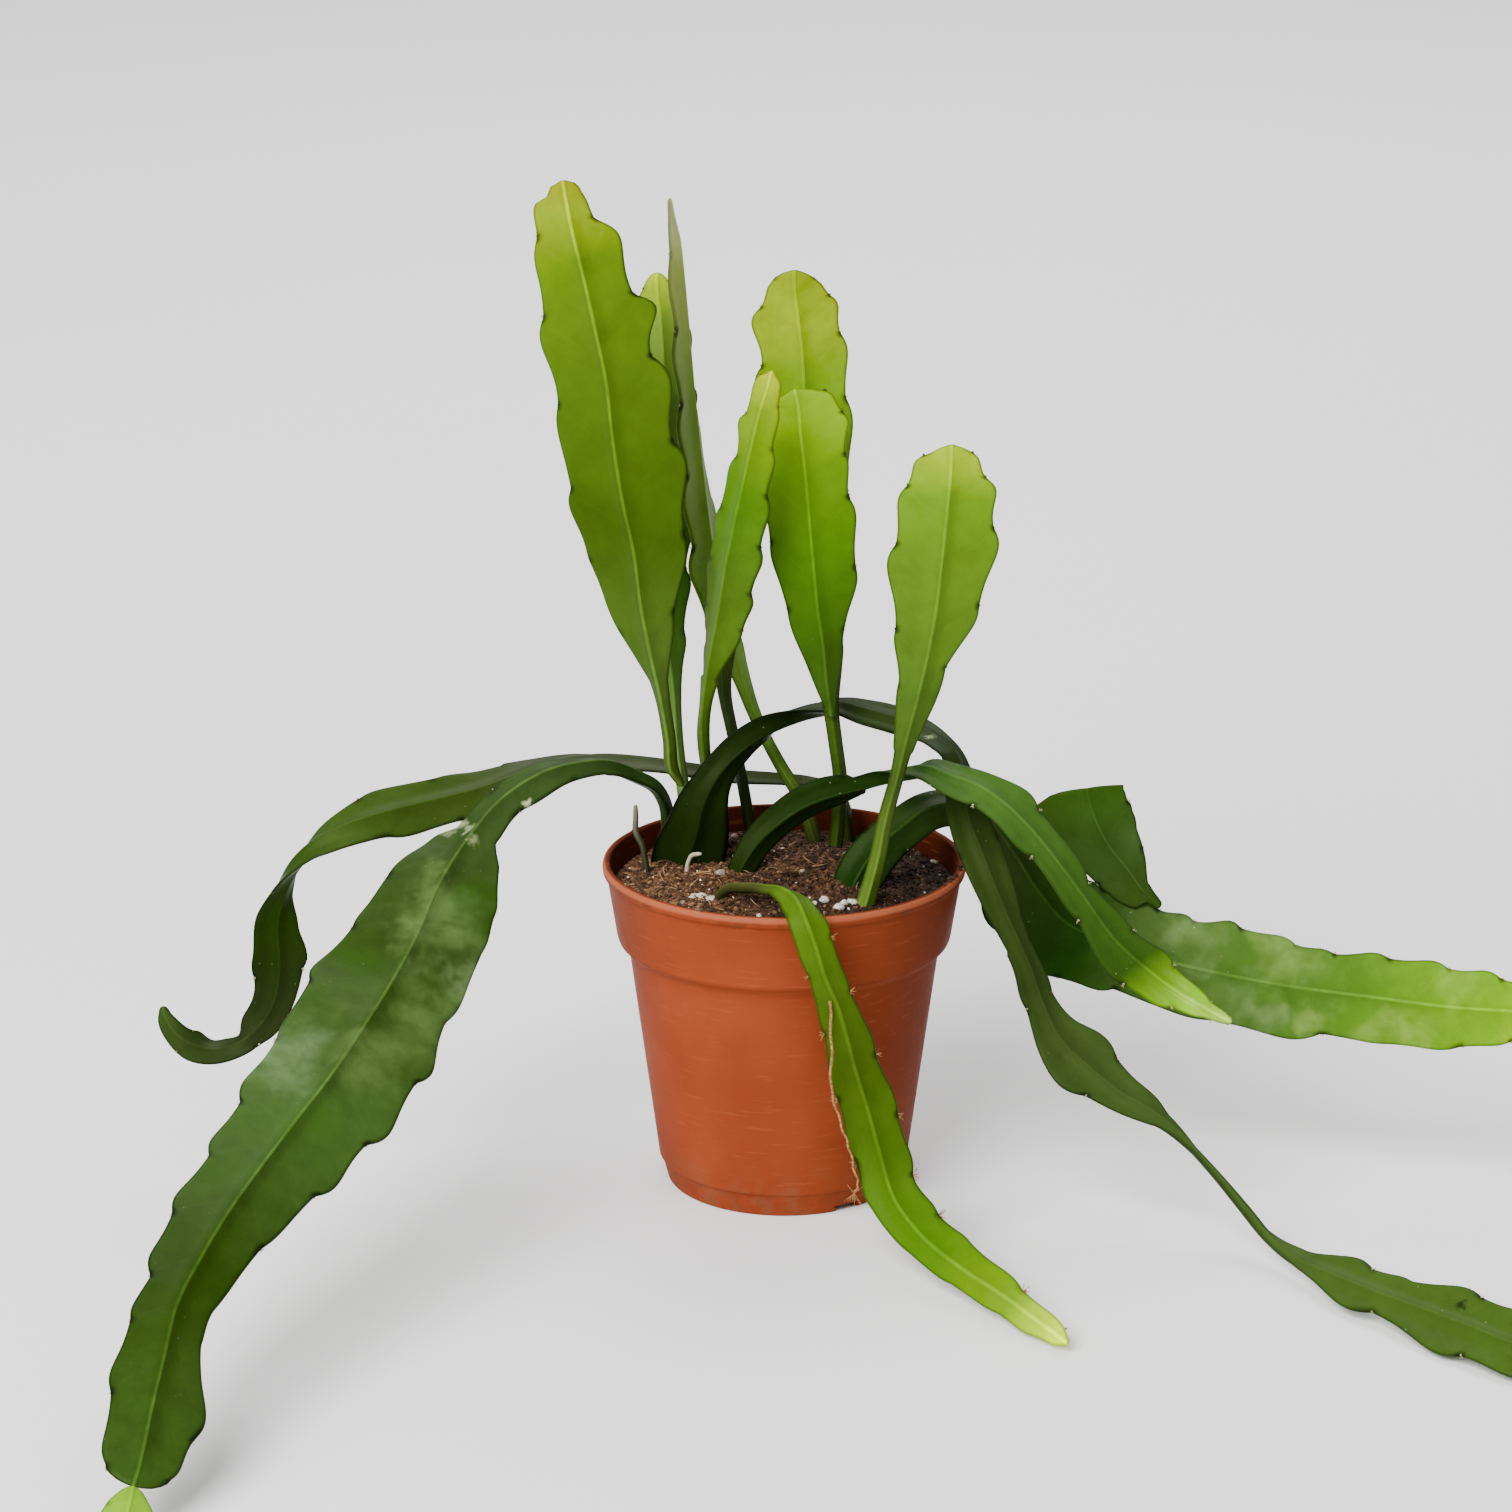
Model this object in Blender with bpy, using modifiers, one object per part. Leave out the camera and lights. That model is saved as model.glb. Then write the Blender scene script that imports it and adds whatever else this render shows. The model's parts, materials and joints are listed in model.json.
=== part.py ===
"""An orchid cactus in a turned plastic nursery pot.

The stems are flat, leaf-like and toothed. Five of them are long and hang or trail out of the pot,
and the others stand. Each is laid along its midrib through stations measured in millimetres.
Z is up, the pot's axis is the Z axis, and the pot stands on Z = 0.
"""

import math

import bmesh
import bpy
import numpy as np
from mathutils import Vector

MM = 0.001
CLEARANCE = 0.3

# The pot, in millimetres
RIM_RADIUS = 60.0
POT_HEIGHT = 111.0
LIP_HEIGHT = 3.8
COLLAR_FOOT_RADIUS = 54.9
COLLAR_FOOT_HEIGHT = 84.6
WALL_TOP_RADIUS = 51.5
WALL_TOP_HEIGHT = 82.2
FOOT_LINE_RADIUS = 41.7
FOOT_LINE_HEIGHT = 8.4
FOOT_RADIUS = 38.8
FOOT_WIDTH = 3.0
PAD_RADIUS = 13.0
FLOOR_RISE = 2.4
FLOOR_TOP = 4.0
WALL = 1.3
POT_SIDES = 48
DRAIN_HOLES = 6
DRAIN_RADIUS = 3.2
DRAIN_CIRCLE = 25.0
FOOT_NOTCHES = 2
NOTCH_WIDTH = 9.0
NOTCH_ANGLE = math.radians(-58)

# The soil, in millimetres
SOIL_RADIUS = 56.5
SOIL_EDGE = 102.5
SOIL_MIDDLE = 104.5
SOIL_RINGS = (0, 8, 16, 24, 32, 40, 48)
MOUND_PLACE = (12.0, 7.0)
MOUND_SPREAD = (11.0, 13.0)
MOUND_RISE = 7.0
CLOD_RISE = 0.6

# A stem's flesh, in millimetres
RIB = 4.2
EDGE = 1.5
FOLD = 0.16
RIB_HALF = 2.6
RIB_REACH = 2.2
TOOTH_LEAN = 1.6
TOOTH_FROM = 3.5
TOOTH_FULL = 9.5
BLADE_ROW = 6.2
STALK_ROW = 10.0
STALK_HALF = 3.6
BUD_GAP = 0.8
TIP_FADE = 14.0
BUD_FADE = 9.0
TIP_SHARE = 0.4
HOLE_REACH = 13.0

FRONT = (0, -1, 0)

# Each station gives the midrib's x, y and z, the half width, and where the front face looks.
ARCHING_RIGHT = [
    (-32, 17, 94, 12.2, FRONT), (-32, 17, 104, 12.4, FRONT), (-29, 17, 115, 10.8, FRONT),
    (-27, 17, 124, 8.8, FRONT), (-24, 18, 131, 6.8, (0, -1, -0.1)), (-20, 20, 137, 6, (0.1, -1, -0.2)),
    (-14, 22, 143, 6.2, (0.1, -0.9, -0.4)), (-6, 25, 148, 6.4, (0, -0.8, -0.6)),
    (2, 28, 151, 6.4, (0, -0.5, -0.85)), (9, 29, 153, 6.2, (0, -0.2, -1)), (19, 29, 154, 6.2, (0, 0.2, -1)),
    (27, 26, 153, 6.4, (0, 0.4, -0.9)), (36, 21, 152, 6.6, (-0.1, 0.5, -0.85)),
    (45, 14, 150, 6.4, (-0.3, 0.5, -0.8)), (51, 7, 148, 6, (-0.55, 0.55, -0.6)),
    (55, 2, 145, 6, (-0.7, 0.6, -0.4)), (57, -3, 139, 6.5, (-0.6, 0.8, -0.2)),
    (59, -8, 130, 7, (-0.4, 0.9, 0)), (64, -14, 118, 7.4, (-0.3, 0.93, 0)),
    (69, -20, 106, 6.6, (-0.35, 0.93, 0)), (74, -24, 94, 5.2, (-0.5, 0.85, -0.1)),
    (78.5, -28, 84, 4.8, (-0.6, 0.75, -0.2)), (83, -32, 72.5, 6, (-0.5, 0.8, -0.3)),
    (89, -37, 62, 9.2, (-0.3, 0.85, -0.4)), (98, -42, 54, 9.6, (-0.3, 0.8, -0.5)),
    (109, -47, 46.5, 7.4, (-0.3, 0.8, -0.5)), (118, -50, 42, 4.6, (-0.3, 0.8, -0.5)),
    (125, -53, 37.5, 2, (-0.3, 0.8, -0.5)), (132, -57, 31.5, 1.8, (-0.3, 0.8, -0.5)),
    (140, -61, 23.5, 1.8, (-0.3, 0.8, -0.5)), (148, -66, 15, 1.8, (-0.2, 0.8, -0.6)),
    (155, -76, 9, 2.2, (-0.1, 0.8, -0.6)), (161, -86, 6.5, 3.4, (0, 0.75, -0.65)),
    (172, -102, 7.2, 6, (0, 0.75, -0.65)), (184, -116, 7.5, 7.8, (0, 0.75, -0.65)),
    (196, -129, 8, 8.6, (0, 0.75, -0.65)), (209, -142, 8, 9.4, (0, 0.75, -0.65)),
    (222, -156, 8, 9, (0, 0.75, -0.65)), (233, -163, 7.5, 7.4, (0, 0.75, -0.65)),
    (242, -167, 6.5, 4.4, (0, 0.75, -0.65)), (246, -168, 6, 1.5, (0, 0.75, -0.65)),
]
ARCHING_CENTRE = [
    (-18, 4, 95, 4, (-0.2, -1, 0)), (-14, 5, 106, 4.6, (-0.2, -1, 0)), (-9, 7, 114, 5.2, (-0.1, -1, -0.1)),
    (-2, 8, 121, 5.8, (0, -1, -0.2)), (6, 8, 127, 6.4, (0, -0.95, -0.3)), (16, 6, 132, 6.6, (0, -0.9, -0.4)),
    (25, 2, 136, 5.8, (0, -0.8, -0.6)), (33, -3, 140, 5, (0, -0.55, -0.85)),
    (40, -8, 143, 4.2, (0, -0.1, -1)),
    (47, -12, 145, 4.6, (-0.1, 0.4, -0.9)), (53, -16, 144, 6, (-0.2, 0.6, -0.8)),
    (62, -20, 142, 7.8, (-0.3, 0.7, -0.65)), (71, -25, 137, 8.6, (-0.35, 0.7, -0.6)),
    (81, -31, 128, 7.4, (-0.4, 0.7, -0.55)), (89, -37, 119, 6.2, (-0.45, 0.7, -0.5)),
    (97, -42, 109, 6.6, (-0.45, 0.7, -0.5)), (105, -46, 99, 8, (-0.4, 0.75, -0.5)),
    (116, -50, 90, 8.6, (-0.3, 0.8, -0.5)), (127, -54, 83, 6.6, (-0.2, 0.85, -0.5)),
    (136, -57, 79, 4, (-0.2, 0.85, -0.5)), (143, -59, 76, 1.3, (-0.2, 0.85, -0.5)),
]
REACHING_RIGHT = [
    (20, -13, 95, 7.4, (-0.3, -0.9, 0.2)), (22.5, -12, 104, 7.8, (-0.3, -0.9, 0.2)),
    (26, -10, 111, 8.2, (-0.2, -0.9, 0.3)), (31, -7, 117, 7.8, (-0.1, -0.85, 0.45)),
    (39, -3, 123, 7.2, (0, -0.8, 0.5)), (47, 2, 127, 7, (0, -0.75, 0.6)), (56, 7, 127, 7.2, (0.1, -0.7, 0.7)),
    (66, 11, 121, 8.4, (0.3, -0.75, 0.6)), (75, 14, 109, 11, (0.35, -0.85, 0.4)),
    (84, 15, 95, 14.5, (0.3, -0.9, 0.3)), (94, 14, 84, 16.4, (0.2, -0.95, 0.25)),
    (106, 11, 79, 16.6, (0.1, -0.95, 0.3)), (120, 6, 75.2, 16, (0, -0.93, 0.35)),
    (135, 2, 72.6, 16.4, (0, -0.93, 0.35)), (150, -2, 70.6, 16.4, (0, -0.93, 0.35)),
    (166, -6, 69, 14.6, (0, -0.93, 0.35)), (180, -9, 68, 13.6, (0, -0.93, 0.35)),
    (193, -11, 67, 14.6, (0, -0.93, 0.35)), (205, -13, 66, 15, (0, -0.93, 0.35)),
    (222, -16, 65, 13, (0, -0.93, 0.35)), (239, -19, 65, 11, (0, -0.93, 0.35)),
    (251, -21, 65, 9, (0, -0.93, 0.35)), (259, -22, 65.5, 5, (0, -0.93, 0.35)),
    (263, -23, 66, 1.5, (0, -0.93, 0.35)),
]
HANGING_LEFT = [
    (-40, 27, 93, 2.8, (0.8, 0.3, 0)), (-39, 27, 105, 2.8, (0.8, 0.3, 0)),
    (-39, 27, 114, 2.8, (0.8, 0.25, 0.1)),
    (-40, 26, 122, 3, (0.75, 0.2, 0.4)), (-43, 24, 128, 3.4, (0.5, 0.1, 0.8)),
    (-50, 21, 133, 3.8, (0.25, -0.1, 0.95)), (-59, 16, 138, 4.6, (0, -0.35, 0.93)),
    (-69, 11, 139, 6.2, (-0.05, -0.5, 0.87)), (-79, 5, 138, 8, (-0.1, -0.6, 0.8)),
    (-88, 0, 134, 8.4, (-0.2, -0.6, 0.75)), (-95, -5, 129, 7, (-0.3, -0.6, 0.7)),
    (-100, -10, 124, 5.6, (-0.3, -0.65, 0.7)), (-103.5, -14.5, 120.5, 8.5, (-0.2, -0.7, 0.7)),
    (-108, -23, 116, 13.5, (0, -0.65, 0.75)), (-112.5, -33, 110, 19, (0.1, -0.6, 0.8)),
    (-117, -46, 101.5, 21.5, (0.2, -0.55, 0.8)), (-123.5, -62, 92, 22.5, (0.25, -0.5, 0.82)),
    (-131.5, -84, 83.5, 22.6, (0.3, -0.45, 0.84)), (-140.5, -105, 74.5, 22.2, (0.3, -0.45, 0.84)),
    (-149.5, -125, 67.5, 20, (0.3, -0.45, 0.84)), (-157.5, -145, 61.5, 17, (0.3, -0.45, 0.84)),
    (-165.5, -168, 55.5, 13.4, (0.3, -0.45, 0.84)), (-172, -190, 49, 11, (0.3, -0.5, 0.8)),
    (-176.5, -209, 43, 11.3, (0.3, -0.5, 0.8)), (-178, -226, 35, 13.5, (0.25, -0.55, 0.8)),
    (-179.5, -242, 27, 14.5, (0.2, -0.6, 0.75)), (-180.5, -254, 20.5, 12.5, (0.2, -0.6, 0.75)),
    (-181.5, -262, 16, 8, (0.2, -0.6, 0.75)), (-182, -265, 14.5, 3.6, (0.2, -0.6, 0.75)),
]
CURLING_LEFT = [
    (22.5, 41, 95, 2.6, (0.8, 0.3, 0)), (21.5, 42, 109, 2.6, (0.8, 0.3, 0)),
    (20, 43, 116, 2.7, (0.8, 0.3, 0.4)),
    (16, 44, 121, 3, (0.6, 0.3, 0.7)), (9, 45, 123, 4, (0.2, 0.2, 1)), (-1, 46, 124, 5, (0, 0.05, 1)),
    (-17, 47, 125, 6.2, (0, 0, 1)), (-32, 48, 127, 6.6, (0, 0, 1)), (-49, 46, 130, 7, (0, 0, 1)),
    (-62, 42, 132, 7.5, (0, -0.05, 1)), (-75, 37, 132, 8, (0, -0.2, 0.95)),
    (-89, 32, 129, 8.5, (0, -0.45, 0.87)),
    (-100, 28, 126, 8.8, (0, -0.65, 0.75)), (-113, 23, 124, 9, (0, -0.75, 0.65)),
    (-128, 17, 122, 8.8, (0, -0.75, 0.65)), (-140, 13, 119.5, 8.2, (-0.1, -0.7, 0.7)),
    (-151, 11, 115, 7.2, (-0.4, -0.5, 0.75)), (-161.5, 9, 106.6, 6.2, (-0.8, 0, 0.5)),
    (-167.2, 7, 96.4, 6.0, (-0.7, 0.6, 0.2)), (-169, 5, 86, 6.8, (-0.4, 0.9, 0)),
    (-168.6, 4, 75, 7.2, (-0.4, 0.9, 0)), (-170, 2, 62.5, 7, (-0.4, 0.9, -0.1)),
    (-175, 0, 52, 6.2, (-0.3, 0.8, -0.5)), (-182.5, -2, 45, 5.5, (0, 0.6, -0.8)),
    (-191, -4, 43.5, 5, (0, 0.5, -0.85)), (-199, -5, 47.5, 4.2, (0.2, 0.6, -0.7)),
    (-204.5, -5, 54.5, 2.8, (0.2, 0.7, -0.6)), (-206.5, -5, 60.5, 1.4, (0.2, 0.7, -0.6)),
]
TRAILING_FRONT = [
    (-23, -19.5, 94, 1.9, (-0.6, 0.6, 0.3)), (-22.4, -20, 102, 1.9, (-0.6, 0.6, 0.5)),
    (-19, -21.5, 107.4, 1.9, (-0.3, 0.2, 0.9)), (-12, -26, 109.8, 2, (-0.1, -0.1, 1)),
    (-5, -36, 112.6, 2.6, (0, -0.35, 0.9)),
    (0, -49, 116, 3.8, (0.1, -0.5, 0.85)), (4, -59, 116, 5, (0.1, -0.6, 0.8)),
    (7, -66, 112, 6.2, (0.1, -0.85, 0.5)), (10, -69, 105, 6, (0.1, -1, 0.15)),
    (13, -69, 95, 4.8, (0.1, -1, 0)),
    (17, -68, 85, 5.4, (0.1, -1, 0)), (20, -67, 74, 7, (0.1, -1, 0)), (23, -66, 62, 8.5, (0.05, -1, 0.1)),
    (27, -67, 49, 9.2, (0, -1, 0.15)), (31, -71, 35, 8.8, (0, -0.95, 0.3)),
    (35, -78, 24, 8.2, (-0.1, -0.9, 0.4)),
    (43, -89, 16, 7.8, (-0.2, -0.8, 0.5)), (55, -104, 11, 7.2, (-0.25, -0.75, 0.6)),
    (69, -121, 8, 6.4, (-0.25, -0.75, 0.6)), (79, -134, 5.5, 4.6, (-0.25, -0.75, 0.6)),
    (85, -142, 4, 2.4, (-0.25, -0.75, 0.6)), (87, -145, 3.5, 1.2, (-0.25, -0.75, 0.6)),
]
# How thick each stem's rib and margins are, and how its margins are toothed
# Where a margin's notches are known, each has its distance along, its width, and the bulge before it.
ARCHING_RIGHT_FORM = dict(
    rib=5.0, edge=1.8, phase=0.3, pitch=27.0,
    left=[(205, 5.8, 0), (224, 6.0, 1.0), (256, 8.2, 4.2), (280, 3, 0.8), (294, 1.2, 0), (330, 1.8, 0.2),
          (346, 1.6, 0), (386, 6.5, 3.2), (424, 10.1, 3.2), (446, 8.4, 1.6), (458, 4, 1)],
    right=[(205, 5.2, 0), (222, 5.8, 0.8), (256, 9.0, 3.4), (280, 3, 0.8), (294, 1.2, 0), (330, 1.8, 0.2),
           (348, 4.8, 0.4), (377, 7.3, 2.2), (393, 7.7, 0.6), (418, 10.6, 1.8), (442, 8.8, 1.6), (458, 4, 1)],
)
ARCHING_CENTRE_FORM = dict(
    rib=4.6, edge=1.7, phase=0.7, pitch=26.0,
    left=[(62, 4, 0), (84, 5.6, 0.6), (112, 7.4, 1.2), (139, 6.4, 1.8), (164, 6.6, 1.0), (187, 9.4, 1.8),
          (203, 5.2, 1.4), (213, 2.4, 0.4)],
    right=[(62, 4, 0), (105, 6.2, 0.6), (128, 7.8, 2.2), (156, 5.8, 1.4), (178, 7.8, 1.0), (196, 7.2, 1.4),
           (213, 2.4, 0.8)],
)
REACHING_RIGHT_FORM = dict(
    rib=4.6, edge=1.7, phase=0.4, pitch=17.5, depth=2.0,
    left=[(62, 8, 0), (80, 11.5, 1.0), (102, 15.2, 1.4), (124, 15.8, 1.4), (145, 16.2, 1.2), (159, 15.3, 1.4),
          (175, 16.4, 2.0), (195, 13.9, 1.6), (208, 12.7, 0.9), (226, 13.6, 1.5), (246, 12.7, 1.8),
          (264, 10.6, 1.8), (278, 6.4, 1)],
    right=[(62, 8, 0), (84, 13.5, 2.2), (104, 18.6, 2.0), (122, 17.4, 1.2), (139.5, 13.8, 1.4),
    (171, 15.8, 1.1),
           (207, 14.1, 2.7), (229, 14.6, 0.5), (252, 12.7, 1.2), (268, 10, 0.8), (278, 6.4, 0.6)],
)
HANGING_LEFT_FORM = dict(
    rib=4.6, edge=1.7, phase=0.5, pitch=24.0, depth=3.6,
    left=[(58, 4.2, 0), (95, 6.8, 1.2), (111, 8, 0.3), (120, 14, 0.4), (136, 20, 0.5), (153, 21, 0.6),
          (181, 20.9, 1.4), (208, 23.0, 3.0), (238, 21.3, 3.0), (268, 18.1, 2.4), (300, 13.8, 0.8),
          (333, 10.4, 0.3), (349, 10.1, 0.2), (383, 13.4, 3.2), (398, 8.5, 1.4)],
    right=[(58, 4.2, 0), (95, 7, 0.8), (111, 8, 0.3), (117, 12.8, 0.3), (138, 17.6, 0.8), (162, 20.4, 0.8),
           (190, 23.3, 2.6), (219, 21.7, 0.8), (249.5, 18.2, 2.6), (275, 15.7, 2.0), (303, 14.6, 2.0),
           (330, 10.6, 2.2), (346, 11.6, 0.8), (372, 12.4, 1.8), (398, 8.5, 2)],
)
CURLING_LEFT_FORM = dict(
    phase=0.2, pitch=26.0,
    left=[(140, 7.8, 0), (160, 8.6, 1), (186, 8.0, 1.2), (212, 5.8, 0.5), (230, 6.2, 0), (240, 8, 0.3),
          (259, 8.6, 1.2), (284, 2.9, 1.8), (290, 4.6, 0), (306, 4.6, 1.2), (318, 1.8, 0.4)],
    right=[(140, 7.8, 0), (164, 8.8, 0.6), (191, 8.9, 1.2), (214, 5.8, 1), (230, 5, 0), (241, 7.4, 0.2),
           (256, 8.6, 1.6), (281, 4.5, 0.8), (306, 4.8, 1.2), (318, 2.2, 0.5)],
)
TRAILING_FRONT_FORM = dict(
    rib=3.6, edge=1.4, pitch=22.0, depth=2.0,
    left=[(60, 5.2, 0), (77, 5.8, 0.9), (97, 5.4, 0.8), (120, 7.6, 1), (141, 8.8, 1), (161, 8.2, 1.2),
          (181, 8.5, 0.8), (199, 8.4, 0.6), (227, 5.1, 1), (249, 3.2, 0.8), (253, 1.4, 0)],
    right=[(60, 5.2, 0), (87, 5, 0.9), (108, 6.8, 0.8), (131, 8.4, 0.9), (152, 8.2, 1), (166, 8.2, 0.6),
           (184, 6.7, 0.3), (203, 5.7, 0.5), (224, 5.4, 0.5), (240, 4.8, 0.5), (253, 1.4, 0.8)],
)
LEFT_TALL_FORM = dict(
    left=[(44, 3.4, 0), (71, 12.9, 0.3), (90, 17.2, 0.5), (112, 17.8, 2.2), (139, 18.0, 1.3),
    (171, 16.5, 2.8),
          (197, 11.5, 1.6), (209.5, 8.6, 0.5), (212, 4.6, 0)],
    right=[(44, 3.4, 0), (66, 9.6, 0.4), (93, 17.0, 0.9), (125, 18.6, 3.6), (153, 15.2, 3.8),
    (173, 13.9, 5.6),
           (199, 7.8, 4.6), (207, 6, 0.3), (212, 3.4, 0.2)],
)
CENTRE_LEANING_FORM = dict(
    phase=0.56, pitch=18.0, fold=0.22,
    left=[(75, 2.3, 0), (88, 4, 0.5), (102, 6.4, 0.8), (119, 8, 1), (138, 7.9, 1.2), (157, 6.0, 1.6),
          (172, 5.9, 2.4), (186, 4.2, 1)],
    right=[(75, 2.4, 0), (98, 8.4, 0.8), (112, 9.2, 1.2), (130, 9.4, 1.4), (148, 7.9, 1.4), (164, 6.2, 1.2),
           (178, 4.8, 0.8), (186, 3.4, 0.4)],
)
BACK_CENTRE_FORM = dict(
    phase=0.21, pitch=19.7, depth=2.2,
    left=[(62, 2.7, 0), (84, 5.5, 0.6), (104, 9, 1), (124, 12.2, 1.4), (143, 13.4, 1.5), (155, 13.2, 1.4),
          (177, 13.6, 2.6), (198, 11.5, 3.4), (206, 6.2, 1)],
    right=[(62, 2.7, 0), (84, 5.6, 0.6), (106, 9.6, 1), (133, 12.8, 1.8), (165, 13.4, 2.2), (186, 12.9, 1.8),
           (199, 11, 1.8), (206, 6.4, 0.8)],
)
FRONT_CENTRE_FORM = dict(
    phase=0.03, pitch=21.0,
    left=[(3, 1.9, 0), (39, 10.1, 1.2), (62, 13.5, 1.0), (84, 13.5, 1.2), (99, 12.4, 1.2), (110, 9.6, 0.8)],
    right=[(3, 1.9, 0), (26.5, 6.6, 0.6), (51, 13.7, 1.6), (75, 13.2, 2.0), (89, 13.6, 0.8), (104, 14, 2),
           (110, 9.6, 0.8)],
)
RIGHT_UPRIGHT_FORM = dict(
    phase=0.06, pitch=18.0, depth=2.4,
    left=[(60, 3.2, 0), (83, 7.1, 0.6), (99, 11.7, 0.8), (127.5, 15.2, 3.0), (147, 13.5, 2), (158, 9.2, 1.4)],
    right=[(60, 3.2, 0), (90, 6.8, 0.8), (110.5, 13.8, 1.4), (135.5, 15.6, 2.8), (152, 11.0, 3.0),
    (159, 7, 0.8)],
)
DARK_BLUNT_FORM = dict(
    pitch=15.0, depth=1.8,
    left=[(8, 3.6, 0), (22, 7.8, 0.3), (27, 9.2, 0), (32, 12.4, 0), (40, 18.4, 0.4), (46, 17.4, 0.6)],
    right=[(8, 2.4, 0), (24, 10.4, 0.5), (33, 12.8, 0.3), (39, 12.8, 0.5), (46, 12, 0.5)],
)
# The stem that buds on the arching one stands from its upper left margin.
LEFT_TALL_BUD = 34.0
LEFT_TALL = [
    (-37, 14.5, 137, 2.2, (-0.2, -1, 0)), (-38, 10, 149, 2.3, (-0.2, -1, 0)),
    (-40, 6, 164, 2.6, (-0.25, -1, 0)),
    (-43, 2, 180, 5, (-0.25, -1, 0)), (-46, 0, 197, 11.5, (-0.25, -1, 0)), (-48, -2, 215, 16, (-0.25, -1, 0)),
    (-51.5, -3, 233, 18.3, (-0.25, -1, 0.05)), (-54.5, -4, 253, 18.3, (-0.2, -1, 0.05)),
    (-56.5, -5, 273, 17.2, (-0.2, -1, 0.05)), (-60, -6, 291, 16.2, (-0.15, -1, 0.05)),
    (-63.5, -6, 307, 14, (-0.1, -1, 0.05)), (-67, -5, 321, 10.6, (0, -1, 0.1)),
    (-69, -4, 331, 7, (0, -1, 0.1)),
    (-70, -4, 337, 2, (0, -1, 0.1)),
]
BACK_EDGE_ON = [
    (13, 33, 96, 2.4, FRONT), (10, 34, 107, 2.4, FRONT), (5, 36, 121, 2.4, FRONT), (-1, 37, 131, 2.2, FRONT),
    (-9, 38, 147, 2.2, (0.3, -1, 0)), (-15, 37, 165, 3.5, (0.5, -0.9, 0)),
    (-21, 35, 186, 7.5, (0.7, -0.7, 0)),
    (-25, 33, 208, 9.5, (0.85, -0.5, 0)), (-28.5, 31, 236, 10.5, (0.96, -0.28, 0)),
    (-31, 28, 262, 10.5, (0.98, -0.2, 0)), (-33, 25, 288, 9, (0.98, -0.2, 0)),
    (-35, 22, 311, 5.5, (0.96, -0.28, 0)), (-37, 20, 327, 1.2, (0.96, -0.28, 0)),
]
BACK_LEFT = [
    (-31, 34, 96, 2.4, FRONT), (-32, 34, 106, 2.4, FRONT), (-34, 34, 124, 2.2, FRONT),
    (-36, 35, 141, 2.2, FRONT),
    (-37, 37, 158, 2.6, FRONT), (-39, 40, 175, 6, FRONT), (-40, 44, 195, 8, FRONT),
    (-40, 48, 222, 9.5, FRONT),
    (-40, 50, 245, 9.5, FRONT), (-40, 51, 265, 9.5, FRONT), (-41, 51, 282, 7.5, FRONT),
    (-42, 50, 292, 5, FRONT),
    (-42, 50, 297, 1.5, FRONT),
]
HIDDEN_BACK = [
    (-10, 37, 96, 2, FRONT), (-11, 36, 106, 2, FRONT), (-14, 34, 126, 2, FRONT), (-17, 31, 143, 2, FRONT),
    (-20, 27, 161, 2.4, FRONT), (-20, 23, 180, 4.5, FRONT), (-18, 20, 201, 5.5, FRONT),
    (-15, 17, 218, 4, FRONT), (-14, 16, 226, 1.3, FRONT),
]
CENTRE_LEANING = [
    (-20, 31, 96, 2.2, FRONT), (-21, 30, 108, 2.2, FRONT), (-24, 28, 124, 2, FRONT), (-26, 25, 135, 2, FRONT),
    (-27, 22, 146, 2.2, (-0.2, -1, 0)), (-26, 16, 161, 2.4, (-0.4, -0.9, 0)),
    (-24, 12, 175, 4.6, (-0.5, -0.87, 0)), (-21, 7, 192, 7.4, (-0.5, -0.87, 0)),
    (-18.5, 2, 209, 9, (-0.5, -0.87, 0)), (-14.5, -3, 230, 8.6, (-0.5, -0.87, 0)),
    (-10.5, -6, 249, 7, (-0.5, -0.87, 0)), (-7, -8, 265, 5.2, (-0.45, -0.9, 0)),
    (-5, -8, 273, 3.2, (-0.4, -0.9, 0)), (-4, -8, 277, 1.2, (-0.4, -0.9, 0)),
]
BACK_CENTRE = [
    (16, 20, 96, 2.4, FRONT), (17, 19.5, 107, 2.4, FRONT), (18, 18.5, 118, 2.4, FRONT),
    (18.5, 17.5, 133, 2.4, FRONT), (17, 17.5, 145, 2.4, FRONT), (15.5, 18.5, 156, 2.6, FRONT),
    (14, 23, 172, 4.5, FRONT), (11, 27, 192, 8, FRONT),
    (9, 29, 212, 11.5, FRONT), (7.5, 29, 236, 13.2, FRONT), (6.5, 28, 259, 14, FRONT),
    (5.5, 27, 276, 14.2, FRONT),
    (4, 26, 289, 13, FRONT), (3, 25, 298, 9, FRONT), (3, 24, 303, 2, FRONT),
]
FRONT_CENTRE = [
    (15.5, 15, 155, 1.4, (0, -1, 0.2)), (15, 14, 160, 2.4, FRONT), (14, 13.2, 167, 3.6, FRONT),
    (13, 12.8, 178, 6.8, FRONT), (11, 12.5, 192, 10.2, FRONT), (9.5, 12, 207, 13.5, FRONT),
    (8, 12, 223, 14.6, FRONT), (6.5, 11, 240, 14, FRONT), (5, 10, 253, 13.4, FRONT), (4, 10, 263, 10, FRONT),
    (3, 10, 267, 2, FRONT),
]
RIGHT_UPRIGHT = [
    (24, -25, 96, 3.2, FRONT), (27, -25, 106, 3.1, FRONT), (30, -25, 118, 2.8, FRONT),
    (33, -24, 134, 2.5, FRONT),
    (36.5, -22, 147, 2.4, FRONT), (39, -21, 158, 3.2, FRONT), (42.5, -19, 171, 5.6, FRONT),
    (45.5, -17, 184, 8.6, FRONT), (48, -15, 197, 12.5, FRONT), (50, -13, 213, 16, FRONT),
    (51.5, -12, 229, 16, FRONT), (52.5, -12, 241, 13.2, FRONT),
    (53, -12, 249, 9.5, FRONT), (53, -12, 254, 2, FRONT),
]
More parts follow.
